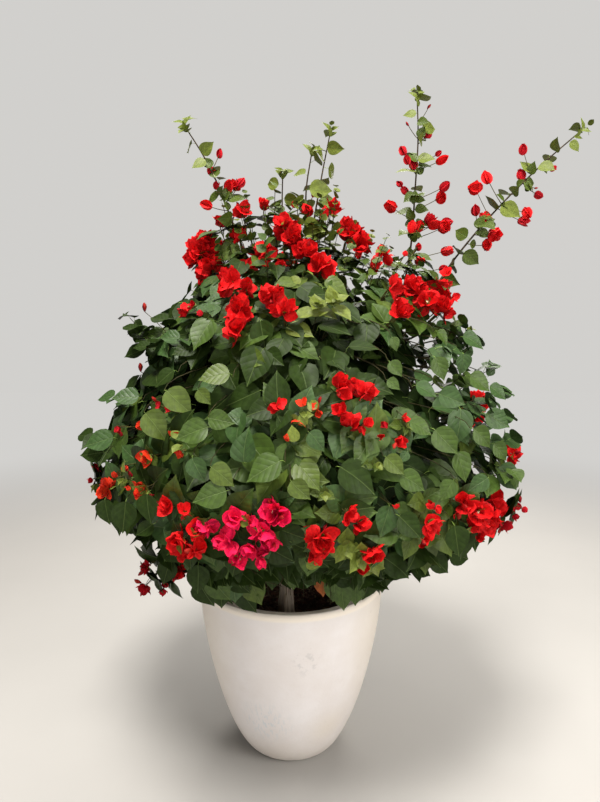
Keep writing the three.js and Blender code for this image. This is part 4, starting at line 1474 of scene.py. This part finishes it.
def centre_shape(name):
    """A small tube flower along Z that opens in a star of five."""
    rows = []
    for distance, height in ((0.05, 0), (0.05, 0.42), (0.09, 0.52), (0.22, 0.56), (0.03, 0.54)):
        points = 10
        row = []
        for k in range(points):
            reach = distance * (1 if k % 2 or distance < 0.2 else 0.5)
            angle = 2 * math.pi * k / points
            row.append(Vector((reach * math.cos(angle), reach * math.sin(angle), height)))
        rows.append(row)
    shape = Shape()
    shape.skin(rows, [[(k / 10, n / 4) for k in range(11)] for n in range(len(rows))], closed=True)
    return shape.mesh(name)


def flower_at(place, axis, size, random):
    """A trio of bracts that opens along an axis."""
    around = aside_from(axis, 2 * math.pi * random())
    return spot_at(place, around, axis, size, int(random() * OPEN_BRACTS.shapes))


def grow_cluster(number, tone, centre, reach, bract_length, bloom):
    """The flowers of a bunch, each on a thin stalk from the twig behind, and the leaves round that twig."""
    random = seeded_random(BUNCH.seed + number)
    outward = (centre - CROWN_HEART).normalized()
    root = centre - outward * (reach + BUNCH.stalk)
    count = max(1, round(BUNCH.flowers * (reach / BUNCH.full) ** 2))
    length = bract_length * clamp(reach / BUNCH.full * BUNCH.bract_growth, *BUNCH.bract_shares)
    radius = max(BUNCH.core * reach, reach - BUNCH.bract_room * length)
    stem = bent(root - outward * BUNCH.stalk, root, centre, STEPS.fine)
    add_limb(bloom.stalks, stem, *BUNCH.stem_radii)
    for k in range(COLLAR.leaves if reach > COLLAR.from_reach else COLLAR.least):
        aside = aside_from(outward, 2 * math.pi * (k + random()) / COLLAR.leaves)
        way = aside + outward * COLLAR.tip_out - UP * COLLAR.tip_down
        facing = outward + UP * COLLAR.face_up + FRONT * COLLAR.face_front
        foot = root + aside * (COLLAR.out * radius)
        size = COLLAR.length * mix(*COLLAR.lengths, random())
        bloom.leaves.append(spot_at(foot, way, facing, size, k % LEAF_SHAPES, leaf_tone(centre, random)))
    for _ in range(count):
        direction = (random_way(random) + outward * BUNCH.spread_out).normalized()
        place = centre + direction * (radius * mix(BUNCH.core, 1, random()))
        axis = (direction + outward * BUNCH.turn_out + random_way(random) * BUNCH.turn_stray).normalized()
        size = length * mix(*BUNCH.sizes, random())
        bend = root.lerp(place - axis * BUNCH.sink, 0.5) + random_way(random) * BUNCH.sway
        add_limb(bloom.stalks, bent(root, bend, place, STEPS.fine), *BUNCH.stalk_radii)
        bloom.flowers[tone].append(flower_at(place, axis, size, random))
        if random() < BUNCH.tube_chance:
            bloom.centres.append(flower_at(place, axis, size * BUNCH.tube_size, random))
        if random() < BUNCH.bud_chance:
            away = (direction + random_way(random) * BUNCH.bud_stray).normalized()
            size = BUNCH.bud_size + BUNCH.bud_range * random()
            bloom.buds.append(spot_at(place + away * BUNCH.bud_out, away, outward, size))
        if random() < (BUNCH.orange_leaf_chance if tone == "orange" else BUNCH.leaf_chance):
            away = (direction + random_way(random) * BUNCH.leaf_stray).normalized()
            size = BUNCH.leaf_size + BUNCH.leaf_range * random()
            foot = place - direction * BUNCH.leaf_in
            bloom.leaves.append(spot_at(foot, away, outward, size, int(random() * LEAF_SHAPES), "young"))


def grow_shoot(number, plan, bloom):
    """A long cane with a small leaf at each node and a whorl of them at its tip."""
    random = seeded_random(CANE.seed + number)
    foot = Vector(plan["foot"])
    path = Path([foot, foot + (Vector(plan["way"][0]) - foot) * CANE.start, *plan["way"]])
    line = [path.at(k / CANE.steps) for k in range(CANE.steps + 1)]
    line.insert(0, foot - path.way(0) * CANE.sink)
    add_limb(bloom.canes, line, *CANE.radii)
    leaf, tip = CANE_LEAF, CANE_TIP
    turn = 0
    reach = CANE.bare
    while reach < path.length:
        share = reach / path.length
        along = path.way(share)
        size = leaf.length * mix(*leaf.lengths, share) * mix(*leaf.spread, random()) * plan.get("lush", 1)
        way = aside_from(along, turn, Vector((0, 1, 0))) + along * leaf.rise - UP * leaf.hang
        facing = UP * leaf.face_up + FRONT * leaf.face_front + random_way(random) * leaf.face_stray
        shape = int(random() * LEAF_SHAPES)
        tone = "young" if share > 0.5 or "lush" in plan else "olive"
        bloom.leaves.append(spot_at(path.at(share), way.normalized(), facing, size, shape, tone))
        turn += CANE.turn
        reach += CANE.node * mix(*CANE.nodes, random())
    end = path.way(1)
    for k in range(tip.leaves):
        away = aside_from(end, k * GOLDEN_ANGLE) + end * mix(*tip.rise, k / (tip.leaves - 1))
        facing = end * tip.face + FRONT * leaf.face_front
        size = tip.length - tip.less * k
        bloom.leaves.append(spot_at(path.at(1 - tip.step * k), away, facing, size, LEAF_SHAPES, "young"))
    grow_cane_bloom(plan, path.at(0.5).y, line, random, bloom)


def grow_cane_bloom(plan, depth, cane, random, bloom):
    """The flowers and buds where they show by a cane, each on an arching stalk with a leaf at its foot."""
    part = CANE_BLOOM
    for across, down, size in plan["blossom"]:
        place = seen_at(across, down, depth)
        reach = seen_size(size, place)
        root = min(cane, key=lambda spot: (spot - place + UP * part.below).length)
        place.y = root.y + mix(*part.aside, random())
        axis = (place - root + UP * part.lift + random_way(random) * part.stray).normalized()
        bend = root.lerp(place, 0.5) - UP * part.sag
        add_limb(bloom.stalks, bent(root, bend, place, STEPS.hanging), *part.radii)
        way = axis + random_way(random) * part.leaf_stray - UP * part.leaf_down
        facing = UP * part.face_up + FRONT + random_way(random) * part.face_stray
        bloom.leaves.append(spot_at(root, way, facing, mix(*part.leaf, random()), tone="olive"))
        if reach < part.least:
            bloom.buds.append(spot_at(place - axis * reach, axis, FRONT, part.bud_growth * reach))
            continue
        count = 2 if reach > part.pair else 1
        for _ in range(count):
            tilt = (axis + random_way(random) * (part.tilt * count - part.tilt_less)).normalized()
            size = part.growth * reach / count**part.pair_power
            flower = flower_at(place - tilt * (0.5 * size), tilt, size, random)
            flower.shape = OPEN_BRACTS.shapes + int(random() * CLOSED_BRACTS.shapes)
            bloom.flowers["crimson" if reach < part.red else "red"].append(flower)


@cache
def grown_bloom(bract_length):
    """Every flower, bud, stalk and cane, and the small young leaves by them."""
    bloom = SimpleNamespace(buds=[], stalks=[], canes=[], leaves=[], centres=[])
    bloom.flowers = {tone: [] for tone in CLUSTERS}
    rows = []
    for tone, bunches in CLUSTERS.items():
        for across, down, size, *depth in bunches:
            middle = seen_at(across, down, *depth) if depth else crown_seen_at(across, down)
            rows.append((tone, middle, BUNCH_ROOM * seen_size(size, middle)))
    random = seeded_random(SIDE_SEED)
    for azimuth, distance, height, tone in SIDE_SPRAYS:
        middle = around_axis(math.radians(azimuth), distance, height)
        for _ in range(SIDE_BUNCHES):
            place = middle + random_way(random) * (SIDE_SPREAD * mix(SIDE_CORE, 1, random()))
            rows.append((tone, place, mix(*SIDE_REACH, random())))
    for number, (tone, centre, reach) in enumerate(rows):
        grow_cluster(number, tone, centre, reach, bract_length, bloom)
    for number, plan in enumerate(SHOOTS):
        grow_shoot(number, plan, bloom)
    for spot in LONE_BUDS:
        tip = seen_at(*spot)
        foot = tip.lerp(CROWN_HEART, LONE_BUD.inward) - UP * LONE_BUD.drop
        line = bent(foot, foot.lerp(tip, 0.5) + UP * LONE_BUD.arch, tip, STEPS.lone)
        add_limb(bloom.stalks, line, *LONE_BUD.radii)
        bloom.buds.append(spot_at(tip, UP + FRONT * LONE_BUD.lean, FRONT, LONE_BUD.length))
    return bloom


# The planter, the soil and the bark


def pot_radius(share):
    """The planter's outer radius at a share of its height."""
    belly = (1 - (1 - share) ** POT_BELLY) ** POT_SHOULDER
    return POT_FOOT_RADIUS + (POT_RADIUS - POT_FOOT_RADIUS) * belly


def pot_profile():
    """The planter's section: its foot, outer wall and rolled rim, then the inside down to the floor."""
    outside = [(0, 0), *((POT_FOOT_RADIUS - inside, height) for inside, height in FOOT_PLACES)]
    top = 1 - RIM_DEPTH / POT_HEIGHT
    for k in range(1, POT_ROWS.wall + 1):
        share = mix(POT_ROWS.first, top, (k / POT_ROWS.wall) ** POT_ROWS.crowding)
        outside.append((pot_radius(share), share * POT_HEIGHT))
    lip = Path([(POT_RADIUS - inside, 0, POT_HEIGHT - below) for inside, below in LIP_PLACES])
    rim = [lip.at(k / POT_ROWS.lip) for k in range(POT_ROWS.lip + 1)]
    inside = []
    inner_top = POT_HEIGHT - 2 * RIM_DEPTH
    for k in range(POT_ROWS.inside + 1):
        height = mix(inner_top, POT_FLOOR, k / POT_ROWS.inside)
        inside.append((pot_radius(height / POT_HEIGHT) - POT_WALL, height))
    return outside, [(place.x, place.z) for place in rim], [*inside, (0, POT_FLOOR)]


def planter_paint(tree):
    """Off-white paint, warmer towards the foot, with painted shade, darker and warmer, at the left and right
    flanks, a painted highlight along the lip, blotches, scuffs, scratches and a stain.
    """
    place = tree.object_place()
    x = tree.node("ShaderNodeSeparateXYZ", {0: place})
    y, height = x.other("Y"), x.other("Z")
    radius = (x * x + y * y).maths("SQRT")
    blotch = tree.noise(place, 7, detail=5, roughness=0.6)
    grain = tree.noise(place, 120, detail=3)
    colour = tree.blend(blotch.smooth(0.3, 0.75), (0.81, 0.765, 0.755), (0.88, 0.85, 0.86))
    foot = 1 - height.smooth(0.0, 0.17)
    colour = tree.blend(foot * 0.35, colour, (0.78, 0.68, 0.54))
    # Painted shade: the left and right flanks are darker and warmer
    painted_flank_shade = x.maths("ABSOLUTE").smooth(0.12, 0.26)
    colour = tree.blend(painted_flank_shade * 0.5, colour, (0.80, 0.71, 0.56))
    # Painted highlight: the lip is paler and creamier along the top of the rim
    lip = height.smooth(POT_HEIGHT - 0.022, POT_HEIGHT - 0.012)
    colour = tree.blend(lip * 0.85, colour, (0.95, 0.87, 0.76))
    band = lip * (1 - radius.smooth(POT_RADIUS - 0.020, POT_RADIUS - 0.015))
    colour = tree.blend(band * 0.85, colour, (0.80, 0.70, 0.58))
    scuff = tree.noise(place, 46, detail=4, roughness=0.7).smooth(0.53, 0.6)
    scuffed = tree.spot(place, (0.045, -0.26, 0.385), 0.06) * scuff
    scratch = tree.noise(place, 1, detail=4, stretch=(150, 150, 12)).smooth(0.5, 0.6)
    scratched = tree.spot(place, (-0.062, -0.19, 0.18), 0.10) * scratch
    marks = scuffed * 0.3
    colour = tree.blend(marks, colour, (0.36, 0.36, 0.38))
    colour = tree.blend(scratched * 0.7, colour, (0.66, 0.71, 0.76))
    stain = tree.spot(place, (0.105, -0.17, 0.15), 0.10) * blotch
    colour = tree.blend(stain * 0.5, colour, (0.66, 0.54, 0.34))
    wear = tree.noise(place, 22, detail=5, roughness=0.7).smooth(0.62, 0.74) * 0.16
    colour = tree.blend(wear, colour, (0.50, 0.45, 0.40))
    relief = blotch * 0.5 + grain * 0.22 - marks * 0.2
    return {"Base Color": colour, "Normal": tree.bump(relief, 0.0025, 0.6), "Roughness": 0.62 + grain * 0.2}


def planter_clay(tree):
    """Unpainted clay inside, with damp marks."""
    place = tree.object_place()
    blotch = tree.noise(place, 14, detail=5, roughness=0.65)
    grain = tree.noise(place, 160, detail=2)
    colour = tree.blend(blotch.smooth(0.35, 0.65), (0.20, 0.085, 0.05), (0.34, 0.16, 0.10))
    return {"Base Color": colour, "Normal": tree.bump(blotch * 0.5 + grain * 0.3, 0.002, 0.8)}


def earth(tree):
    """Dark reddish-brown earth with crumbs and paler specks."""
    place = tree.object_place()
    clod = tree.noise(place, 38, detail=6, roughness=0.7)
    speck = tree.noise(place, 210, detail=2)
    colour = tree.blend(clod.smooth(0.35, 0.68), (0.05, 0.020, 0.014), (0.19, 0.080, 0.052))
    colour = tree.blend(speck.smooth(0.64, 0.72) * 0.6, colour, (0.23, 0.15, 0.10))
    return {"Base Color": colour, "Normal": tree.bump(clod + speck * 0.25, 0.006, 0.9)}


def bark(tree):
    """Pale grey-brown bark with darker streaks along the stem."""
    place = tree.object_place()
    streak = tree.noise(place, 1, detail=5, roughness=0.6, stretch=(190, 190, 15))
    patch = tree.noise(place, 16, detail=3)
    colour = tree.blend(streak.smooth(0.36, 0.66), (0.34, 0.26, 0.19), (0.66, 0.56, 0.45))
    colour = tree.blend(patch.smooth(0.5, 0.75) * 0.5, colour, (0.74, 0.66, 0.55))
    return {"Base Color": colour, "Normal": tree.bump(streak, 0.002, 0.9)}


def plain_with_noise(dark, light, scale, depth):
    """A pattern of two colours and a fine relief."""

    def pattern(tree):
        place = tree.object_place()
        patch = tree.noise(place, scale, detail=4)
        return {
            "Base Color": tree.blend(patch.smooth(0.3, 0.7), dark, light),
            "Normal": tree.bump(patch, depth, 0.7),
        }

    return pattern


def stem_material(name, dark, light, scale, depth, roughness):
    """The thin stems' bark, with a weak gloss."""
    pattern = plain_with_noise(dark, light, scale, depth)
    return new_material(name, pattern, roughness=roughness, specular_ior_level=0.15)


def bark_rows(path, radius_at, sides, count, depth):
    """Rows of places on a limb with ridges of bark, closed to a point at both ends."""
    rows = []
    for k, (centre, side, upper) in enumerate(rings_along(path, count)):
        share = k / count
        row = []
        for j in range(sides):
            angle = 2 * math.pi * j / sides
            spoke = side * math.cos(angle) + upper * math.sin(angle)
            seed = Vector((3 * math.cos(angle), 3 * math.sin(angle), 9 * share * path.length))
            ridge = noise.fractal(seed, 0.8, 2.1, 3) * depth
            row.append(centre + spoke * (radius_at(share, angle) * (1 + ridge)))
        rows.append(row)
    return [[path.at(0)], *rows, [path.at(1)]]


# The add-on's settings, operators and panel


def colour_property(name, description, default):
    return bpy.props.FloatVectorProperty(
        name=name, description=description, default=default, min=0, max=1, subtype="COLOR"
    )


def number_property(name, description, default, low, high, unit="NONE"):
    return bpy.props.FloatProperty(
        name=name, description=description, default=default, min=low, max=high, unit=unit
    )


def count_property(name, description, default, low, high):
    return bpy.props.IntProperty(name=name, description=description, default=default, min=low, max=high)


class BushPlanterSettings(bpy.types.PropertyGroup):
    """What a user would change on the planter."""

    segments: count_property("Segments", "How many flat sides the round wall is made of", 176, 32, 512)
    unevenness: number_property("Unevenness", "How far the wall is from round", 0.0008, 0, 0.005, "LENGTH")
    litter: number_property("Litter", "Bits on each square metre of soil", 5200, 0, 20000)


class BushLeafSettings(bpy.types.PropertyGroup):
    """What a user would change on the leaves and twigs."""

    leaf_length: number_property("Leaf length", "Length of a middling blade", 0.082, 0.03, 0.15, "LENGTH")
    fine_twigs: count_property("Fine twigs", "How many fine twigs grow on each main twig", 7, 1, 20)
    # Painted shade: the inner colour darkens the leaves inside the crown
    inner: colour_property("Inner", "Leaves inside the crown", (0.013, 0.026, 0.005))
    # Painted shade: the deep colour darkens leaves where the crown is shaded
    deep: colour_property("Deep", "The darkest leaves that show", (0.019, 0.036, 0.006))
    green: colour_property("Green", "Most leaves", (0.046, 0.084, 0.012))
    bluish: colour_property("Bluish", "Leaves with a blue cast", (0.038, 0.080, 0.020))
    olive: colour_property("Olive", "Leaves with a yellow cast", (0.066, 0.100, 0.013))
    young: colour_property("Young", "The youngest leaves", (0.130, 0.165, 0.026))
    dead: colour_property("Dead", "Dry leaves", (0.260, 0.075, 0.022))


class BushBlossomSettings(bpy.types.PropertyGroup):
    """What a user would change on the blossom."""

    bract_length: number_property("Bract length", "Length of a middling bract", 0.036, 0.01, 0.08, "LENGTH")
    red: colour_property("Red", "Most bracts", (0.70, 0.007, 0.009))
    crimson: colour_property("Crimson", "Older bracts", (0.46, 0.004, 0.012))
    pink: colour_property("Pink", "Bracts with a pink cast", (0.88, 0.010, 0.085))
    orange: colour_property("Orange", "Opening bracts", (0.68, 0.034, 0.009))


class BushStageSettings(bpy.types.PropertyGroup):
    """What a user would change on the stage."""

    floor: colour_property("Floor", "Colour of the floor", (0.47, 0.46, 0.445))
    key: number_property("Key light", "Power of the large soft light", 252, 0, 2000, "POWER")
    sky: number_property("Surroundings", "Strength of the even light all round", 0.10, 0, 5)
    backdrop: colour_property("Backdrop", "Colour that shows behind the floor", (0.64, 0.63, 0.61))


def nodes_named(start):
    """The solids' nodes whose names start so."""
    return [name for name in frame["nodes"] if name.startswith(start)]


def show(piece, nodes):
    """A finished piece: it stands for its solids, on the object's one body."""
    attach(piece, "root")
    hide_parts(*nodes)


class BUSH_OT_planter(bpy.types.Operator):
    """Make the planter"""

    bl_idname = "bush.planter"
    bl_label = "Planter"

    def execute(self, context):
        settings = context.scene.bush_planter
        outside, rim, inside = pot_profile()

        def wobble(place):
            stray = noise.noise(Vector((place.x * 9, place.y * 9, place.z * 6)))
            share = clamp(place.z / 0.03)
            return place + Vector((place.x, place.y, 0)).normalized() * (stray * settings.unevenness * share)

        mesh = plain_mesh("planter", lathe([*outside, *rim, *inside], settings.segments, wobble))
        piece = add_object("planter", mesh, new_material("painted_clay", planter_paint))
        mesh.materials.append(new_material("bare_clay", planter_clay, roughness=0.9))
        first_inside = len(mesh.polygons) - len(inside) * settings.segments
        for number in range(first_inside, len(mesh.polygons)):
            mesh.polygons[number].material_index = 1
        show(piece, ["pot"])
        return {"FINISHED"}


class BUSH_OT_soil(bpy.types.Operator):
    """Make the soil with the litter on it"""

    bl_idname = "bush.soil"
    bl_label = "Soil"

    def execute(self, context):
        settings = context.scene.bush_planter
        bottom, shoulder, count = POT_FLOOR + GAP, SOIL_TOP - SOIL.shoulder, SOIL.side_rows
        heights = [mix(bottom, shoulder, k / count) for k in range(count + 1)]
        edge, *radii = [
            pot_radius(height / POT_HEIGHT) - POT_WALL - SOIL.seam for height in (SOIL_TOP, *heights)
        ]
        top = [(edge * (1 - k / SOIL.top_rows), SOIL_TOP) for k in range(1, SOIL.top_rows)]
        rows = lathe([(0, bottom), *zip(radii, heights), *top, (0, SOIL_TOP)], SOIL.segments)
        first_top = 1 + len(heights)
        for row in rows[first_top:]:
            for place in row:
                seed = Vector((place.x * SOIL.lump_scale, place.y * SOIL.lump_scale, 0))
                lump = noise.fractal(seed, 0.9, 2.2, 4) * SOIL.lump
                away = (place.x - TRUNK_AXIS[0][0]) ** 2 + place.y**2
                place.z += lump + SOIL.mound * math.exp(-away / SOIL.mound_spread) - SOIL.sink
        soil = new_material("earth", earth, roughness=0.95)
        ground = add_object("soil_ground", plain_mesh("soil_ground", rows), soil)
        bed = add_object("soil_litter", plain_mesh("soil_litter", rows[first_top:]))
        bits = [self.bit_shape(k) for k in range(LITTER.shapes)]
        shapes = shape_collection("bits", bits)
        pattern = plain_with_noise((0.06, 0.03, 0.02), (0.27, 0.18, 0.12), 60, 0.001)
        inputs = dict(Shapes=shapes, Density=settings.litter, Largest=LITTER.largest, Seed=LITTER.seed)
        inputs["Material"] = new_material("litter", pattern, roughness=0.9)
        litter = shaped_by(bed, litter_group(), "soil_litter", **inputs)
        drop_collection(shapes)
        show(ground, ["soil"])
        show(litter, ["soil"])
        return {"FINISHED"}

    @staticmethod
    def bit_shape(number):
        """A crumb or a flake of dead leaf, one unit across."""
        random = seeded_random(LITTER.shape_seed + number)
        flat = mix(0.12, 0.8, random())
        long = mix(0.5, 1, random())
        rows = []
        for ring, height in ((0, -0.5), (0.42, -0.25), (0.5, 0.2), (0, 0.5)):
            if ring == 0:
                rows.append([Vector((0, 0, height * flat))])
                continue
            row = []
            for k in range(5):
                place = around_axis(2 * math.pi * k / 5, ring * mix(0.6, 1.1, random()), height * flat)
                place.y *= long
                row.append(place)
            rows.append(row)
        return plain_mesh(f"bit_{number}", rows)


class BUSH_OT_limbs(bpy.types.Operator):
    """Make the trunk and the boughs with their bark"""

    bl_idname = "bush.limbs"
    bl_label = "Trunk and boughs"

    def execute(self, context):
        trunk, masses = crown_plan()
        material = new_material("bark", bark, roughness=0.88)
        mesh = plain_mesh("trunk_bark", bark_rows(trunk, trunk_radius, 56, 300, 0.09))
        show(add_object("trunk_bark", mesh, material), ["trunk"])
        skins = []
        for mass in masses:
            if mass.bough is None:
                continue

            def radius_at(share, angle, foot=mass.foot):
                swell = 0.35 * math.exp(-share / 0.06)
                return mix(foot, BOUGH_TIP, share) * (1 + swell + 0.05 * math.cos(3 * angle))

            skins.append(bark_rows(Path(mass.bough), radius_at, 18, 44, 0.12))
        mesh = plain_mesh("bough_bark", *skins)
        show(add_object("bough_bark", mesh, material), nodes_named("bough_"))
        return {"FINISHED"}


class BUSH_OT_leaves(bpy.types.Operator):
    """Make the twigs and the leaves"""

    bl_idname = "bush.leaves"
    bl_label = "Twigs and leaves"

    def execute(self, context):
        settings = context.scene.bush_leaves
        plant = grown_plant(settings.leaf_length, settings.fine_twigs)
        wood = stem_material("twig_bark", (0.020, 0.019, 0.008), (0.050, 0.044, 0.017), 70, 0.0006, 0.8)
        masses = nodes_named("foliage_")
        show(limbs_along(plant.twigs, "twigs", wood, sides=4), masses)
        blades = [leaf_shape(k, LEAF_SEED + k, LEAF_WIDTH) for k in range(LEAF_SHAPES)]
        blades.append(leaf_shape(LEAF_SHAPES, NARROW_SEED, NARROW_WIDTH))
        shapes = shape_collection("leaf", blades)
        leaves = plant.leaves + grown_bloom(context.scene.bush_blossom.bract_length).leaves
        for tone, (relief, gloss) in LEAF_FINISH.items():
            colour = getattr(settings, tone)
            light = [mix(channel, target, 0.5) for channel, target in zip(colour, VEIN_COLOUR)]

            material = leaf_material(f"leaf_{tone}", colour, light, relief, gloss)
            spots = [leaf for leaf in leaves if leaf.tone == tone]
            show(shapes_at(spots, shapes, f"leaves_{tone}", material), masses)
        drop_collection(shapes)
        return {"FINISHED"}


class BUSH_OT_blossom(bpy.types.Operator):
    """Make the bracts, flowers, buds and stalks"""

    bl_idname = "bush.blossom"
    bl_label = "Blossom"

    def execute(self, context):
        settings = context.scene.bush_blossom
        bloom = grown_bloom(settings.bract_length)
        trios = []
        for bracts in (OPEN_BRACTS, CLOSED_BRACTS):
            for k in range(bracts.shapes):
                opening = mix(*bracts.opening, k / (bracts.shapes - 1))
                trios.append(trio_shape(len(trios), opening, bracts))
        sprays = nodes_named("blossom_")
        shapes = shape_collection("trio", trios)
        for tone in CLUSTERS:
            colour = getattr(settings, tone)
            edge = [mix(channel, target, 0.25) for channel, target in zip(colour, BRACT_EDGE)]
            material = bract_material(f"bract_{tone}", colour, edge)
            show(shapes_at(bloom.flowers[tone], shapes, f"bracts_{tone}", material), sprays)
        drop_collection(shapes)
        shapes = shape_collection("bud", [bud_shape("bud_0", seeded_random(5))])
        material = bract_material("bud_red", (0.30, 0.006, 0.012), (0.5, 0.05, 0.02))
        show(shapes_at(bloom.buds, shapes, "buds", material), sprays)
        drop_collection(shapes)
        shapes = shape_collection("centre", [centre_shape("centre_0")])
        pattern = plain_with_noise((0.75, 0.62, 0.36), (0.85, 0.80, 0.62), 300, 0.0002)
        cream = new_material("cream", pattern, roughness=0.6)
        for spot in bloom.centres:
            spot.shape = 0
        show(shapes_at(bloom.centres, shapes, "flower_tubes", cream), sprays)
        drop_collection(shapes)
        green = stem_material("stalk_green", (0.035, 0.030, 0.008), (0.090, 0.075, 0.020), 90, 0.0004, 0.7)
        show(limbs_along(bloom.stalks, "blossom_stalks", green, sides=4), sprays)
        return {"FINISHED"}


class BUSH_OT_shoots(bpy.types.Operator):
    """Make the long shoots"""

    bl_idname = "bush.shoots"
    bl_label = "Long shoots"

    def execute(self, context):
        bloom = grown_bloom(context.scene.bush_blossom.bract_length)
        cane = stem_material("cane_bark", (0.018, 0.011, 0.006), (0.060, 0.040, 0.018), 80, 0.0005, 0.75)
        show(limbs_along(bloom.canes, "canes", cane, sides=8), nodes_named("shoot_"))
        return {"FINISHED"}


class BUSH_OT_stage(bpy.types.Operator):
    """Make the floor, the lights and the camera"""

    bl_idname = "bush.stage"
    bl_label = "Stage"

    def execute(self, context):
        settings = context.scene.bush_stage
        edges = (-FLOOR_HALF, FLOOR_HALF)
        mesh = plain_mesh("floor", [[Vector((x, y, -GAP)) for x in edges] for y in edges], closed=False)
        black, pale, backdrop = (0, 0, 0), tuple(settings.floor), tuple(settings.backdrop)

        def pattern(tree):
            place = tree.object_place()
            distance = tree.node("ShaderNodeVectorMath", {0: place}, output=1, operation="LENGTH")
            far = distance.smooth(*FLOOR_FADE)
            patch = tree.noise(place, 3, detail=4)
            plain = tree.blend(patch * 0.06, pale, black)
            return {
                "Base Color": tree.blend(far, plain, black),
                "Normal": tree.bump(patch, 0.0005, 0.7),
                "Emission Color": tree.blend(far, black, backdrop),
            }

        looks = dict(roughness=0.9, specular_ior_level=0.1, emission_strength=1.0)
        material = new_material("floor", pattern, **looks)
        add_object("floor", mesh, material)
        world = bpy.data.worlds.new("surroundings")
        world.use_nodes = True
        world.node_tree.nodes.clear()
        tree = Tree(world.node_tree)
        glow = {"Color": (*WARM_LIGHT, 1), "Strength": settings.sky}
        even = tree.node("ShaderNodeBackground", glow)
        glow = {"Color": (*settings.backdrop, 1), "Strength": 1.0}
        behind = tree.node("ShaderNodeBackground", glow)
        seen = tree.node("ShaderNodeLightPath")
        surface = tree.node("ShaderNodeMixShader", {0: seen, 1: even, 2: behind})
        tree.node("ShaderNodeOutputWorld", {"Surface": surface})
        context.scene.world = world
        for name, (place, aim, share, size) in LIGHTS.items():
            self.add_light(name, place, Vector(aim), settings.key * share, size)
        camera = bpy.data.cameras.new("camera")
        camera.lens = FILM_HEIGHT * PHOTO_FOCUS / PHOTO_HEIGHT
        stand = bpy.data.objects.new("camera", camera)
        stand.location = EYE
        stand.rotation_euler = (math.pi / 2 - EYE_PITCH, 0, 0)
        context.scene.collection.objects.link(stand)
        context.scene.camera = stand
        context.scene.view_settings.view_transform = "Standard"
        return {"FINISHED"}

    @staticmethod
    def add_light(name, place, aim, power, size):
        """A square soft light that looks at a place."""
        lamp = bpy.data.lights.new(name, "AREA")
        lamp.energy = power
        lamp.size = size
        lamp.color = WARM_LIGHT
        thing = bpy.data.objects.new(name, lamp)
        thing.location = place
        thing.rotation_euler = (aim - Vector(place)).to_track_quat("-Z", "Y").to_euler()
        bpy.context.scene.collection.objects.link(thing)


class BUSH_PT_panel(bpy.types.Panel):
    """Lists the steps that build the bush"""

    bl_label = "Bush"
    bl_space_type = "VIEW_3D"
    bl_region_type = "UI"
    bl_category = "Bush"

    def draw(self, context):
        for step in OPERATORS:
            self.layout.operator(step.bl_idname)
        for name, group in SETTINGS.items():
            box = self.layout.box()
            box.label(text=group.bl_rna.name)
            for label in group.__annotations__:
                box.prop(getattr(context.scene, name), label)


OPERATORS = [
    BUSH_OT_planter,
    BUSH_OT_soil,
    BUSH_OT_limbs,
    BUSH_OT_leaves,
    BUSH_OT_blossom,
    BUSH_OT_shoots,
    BUSH_OT_stage,
]
SETTINGS = {
    "bush_planter": BushPlanterSettings,
    "bush_leaves": BushLeafSettings,
    "bush_blossom": BushBlossomSettings,
    "bush_stage": BushStageSettings,
}


def register():
    for each in (*SETTINGS.values(), *OPERATORS, BUSH_PT_panel):
        bpy.utils.register_class(each)
    for name, group in SETTINGS.items():
        setattr(bpy.types.Scene, name, bpy.props.PointerProperty(type=group))


def unregister():
    for name in SETTINGS:
        delattr(bpy.types.Scene, name)
    for each in (BUSH_PT_panel, *OPERATORS, *SETTINGS.values()):
        bpy.utils.unregister_class(each)


def main():
    register()
    bpy.ops.bush.planter()
    bpy.ops.bush.soil()
    bpy.ops.bush.limbs()
    bpy.ops.bush.leaves()
    bpy.ops.bush.blossom()
    bpy.ops.bush.shoots()
    bpy.ops.bush.stage()


if __name__ == "__main__":
    main()
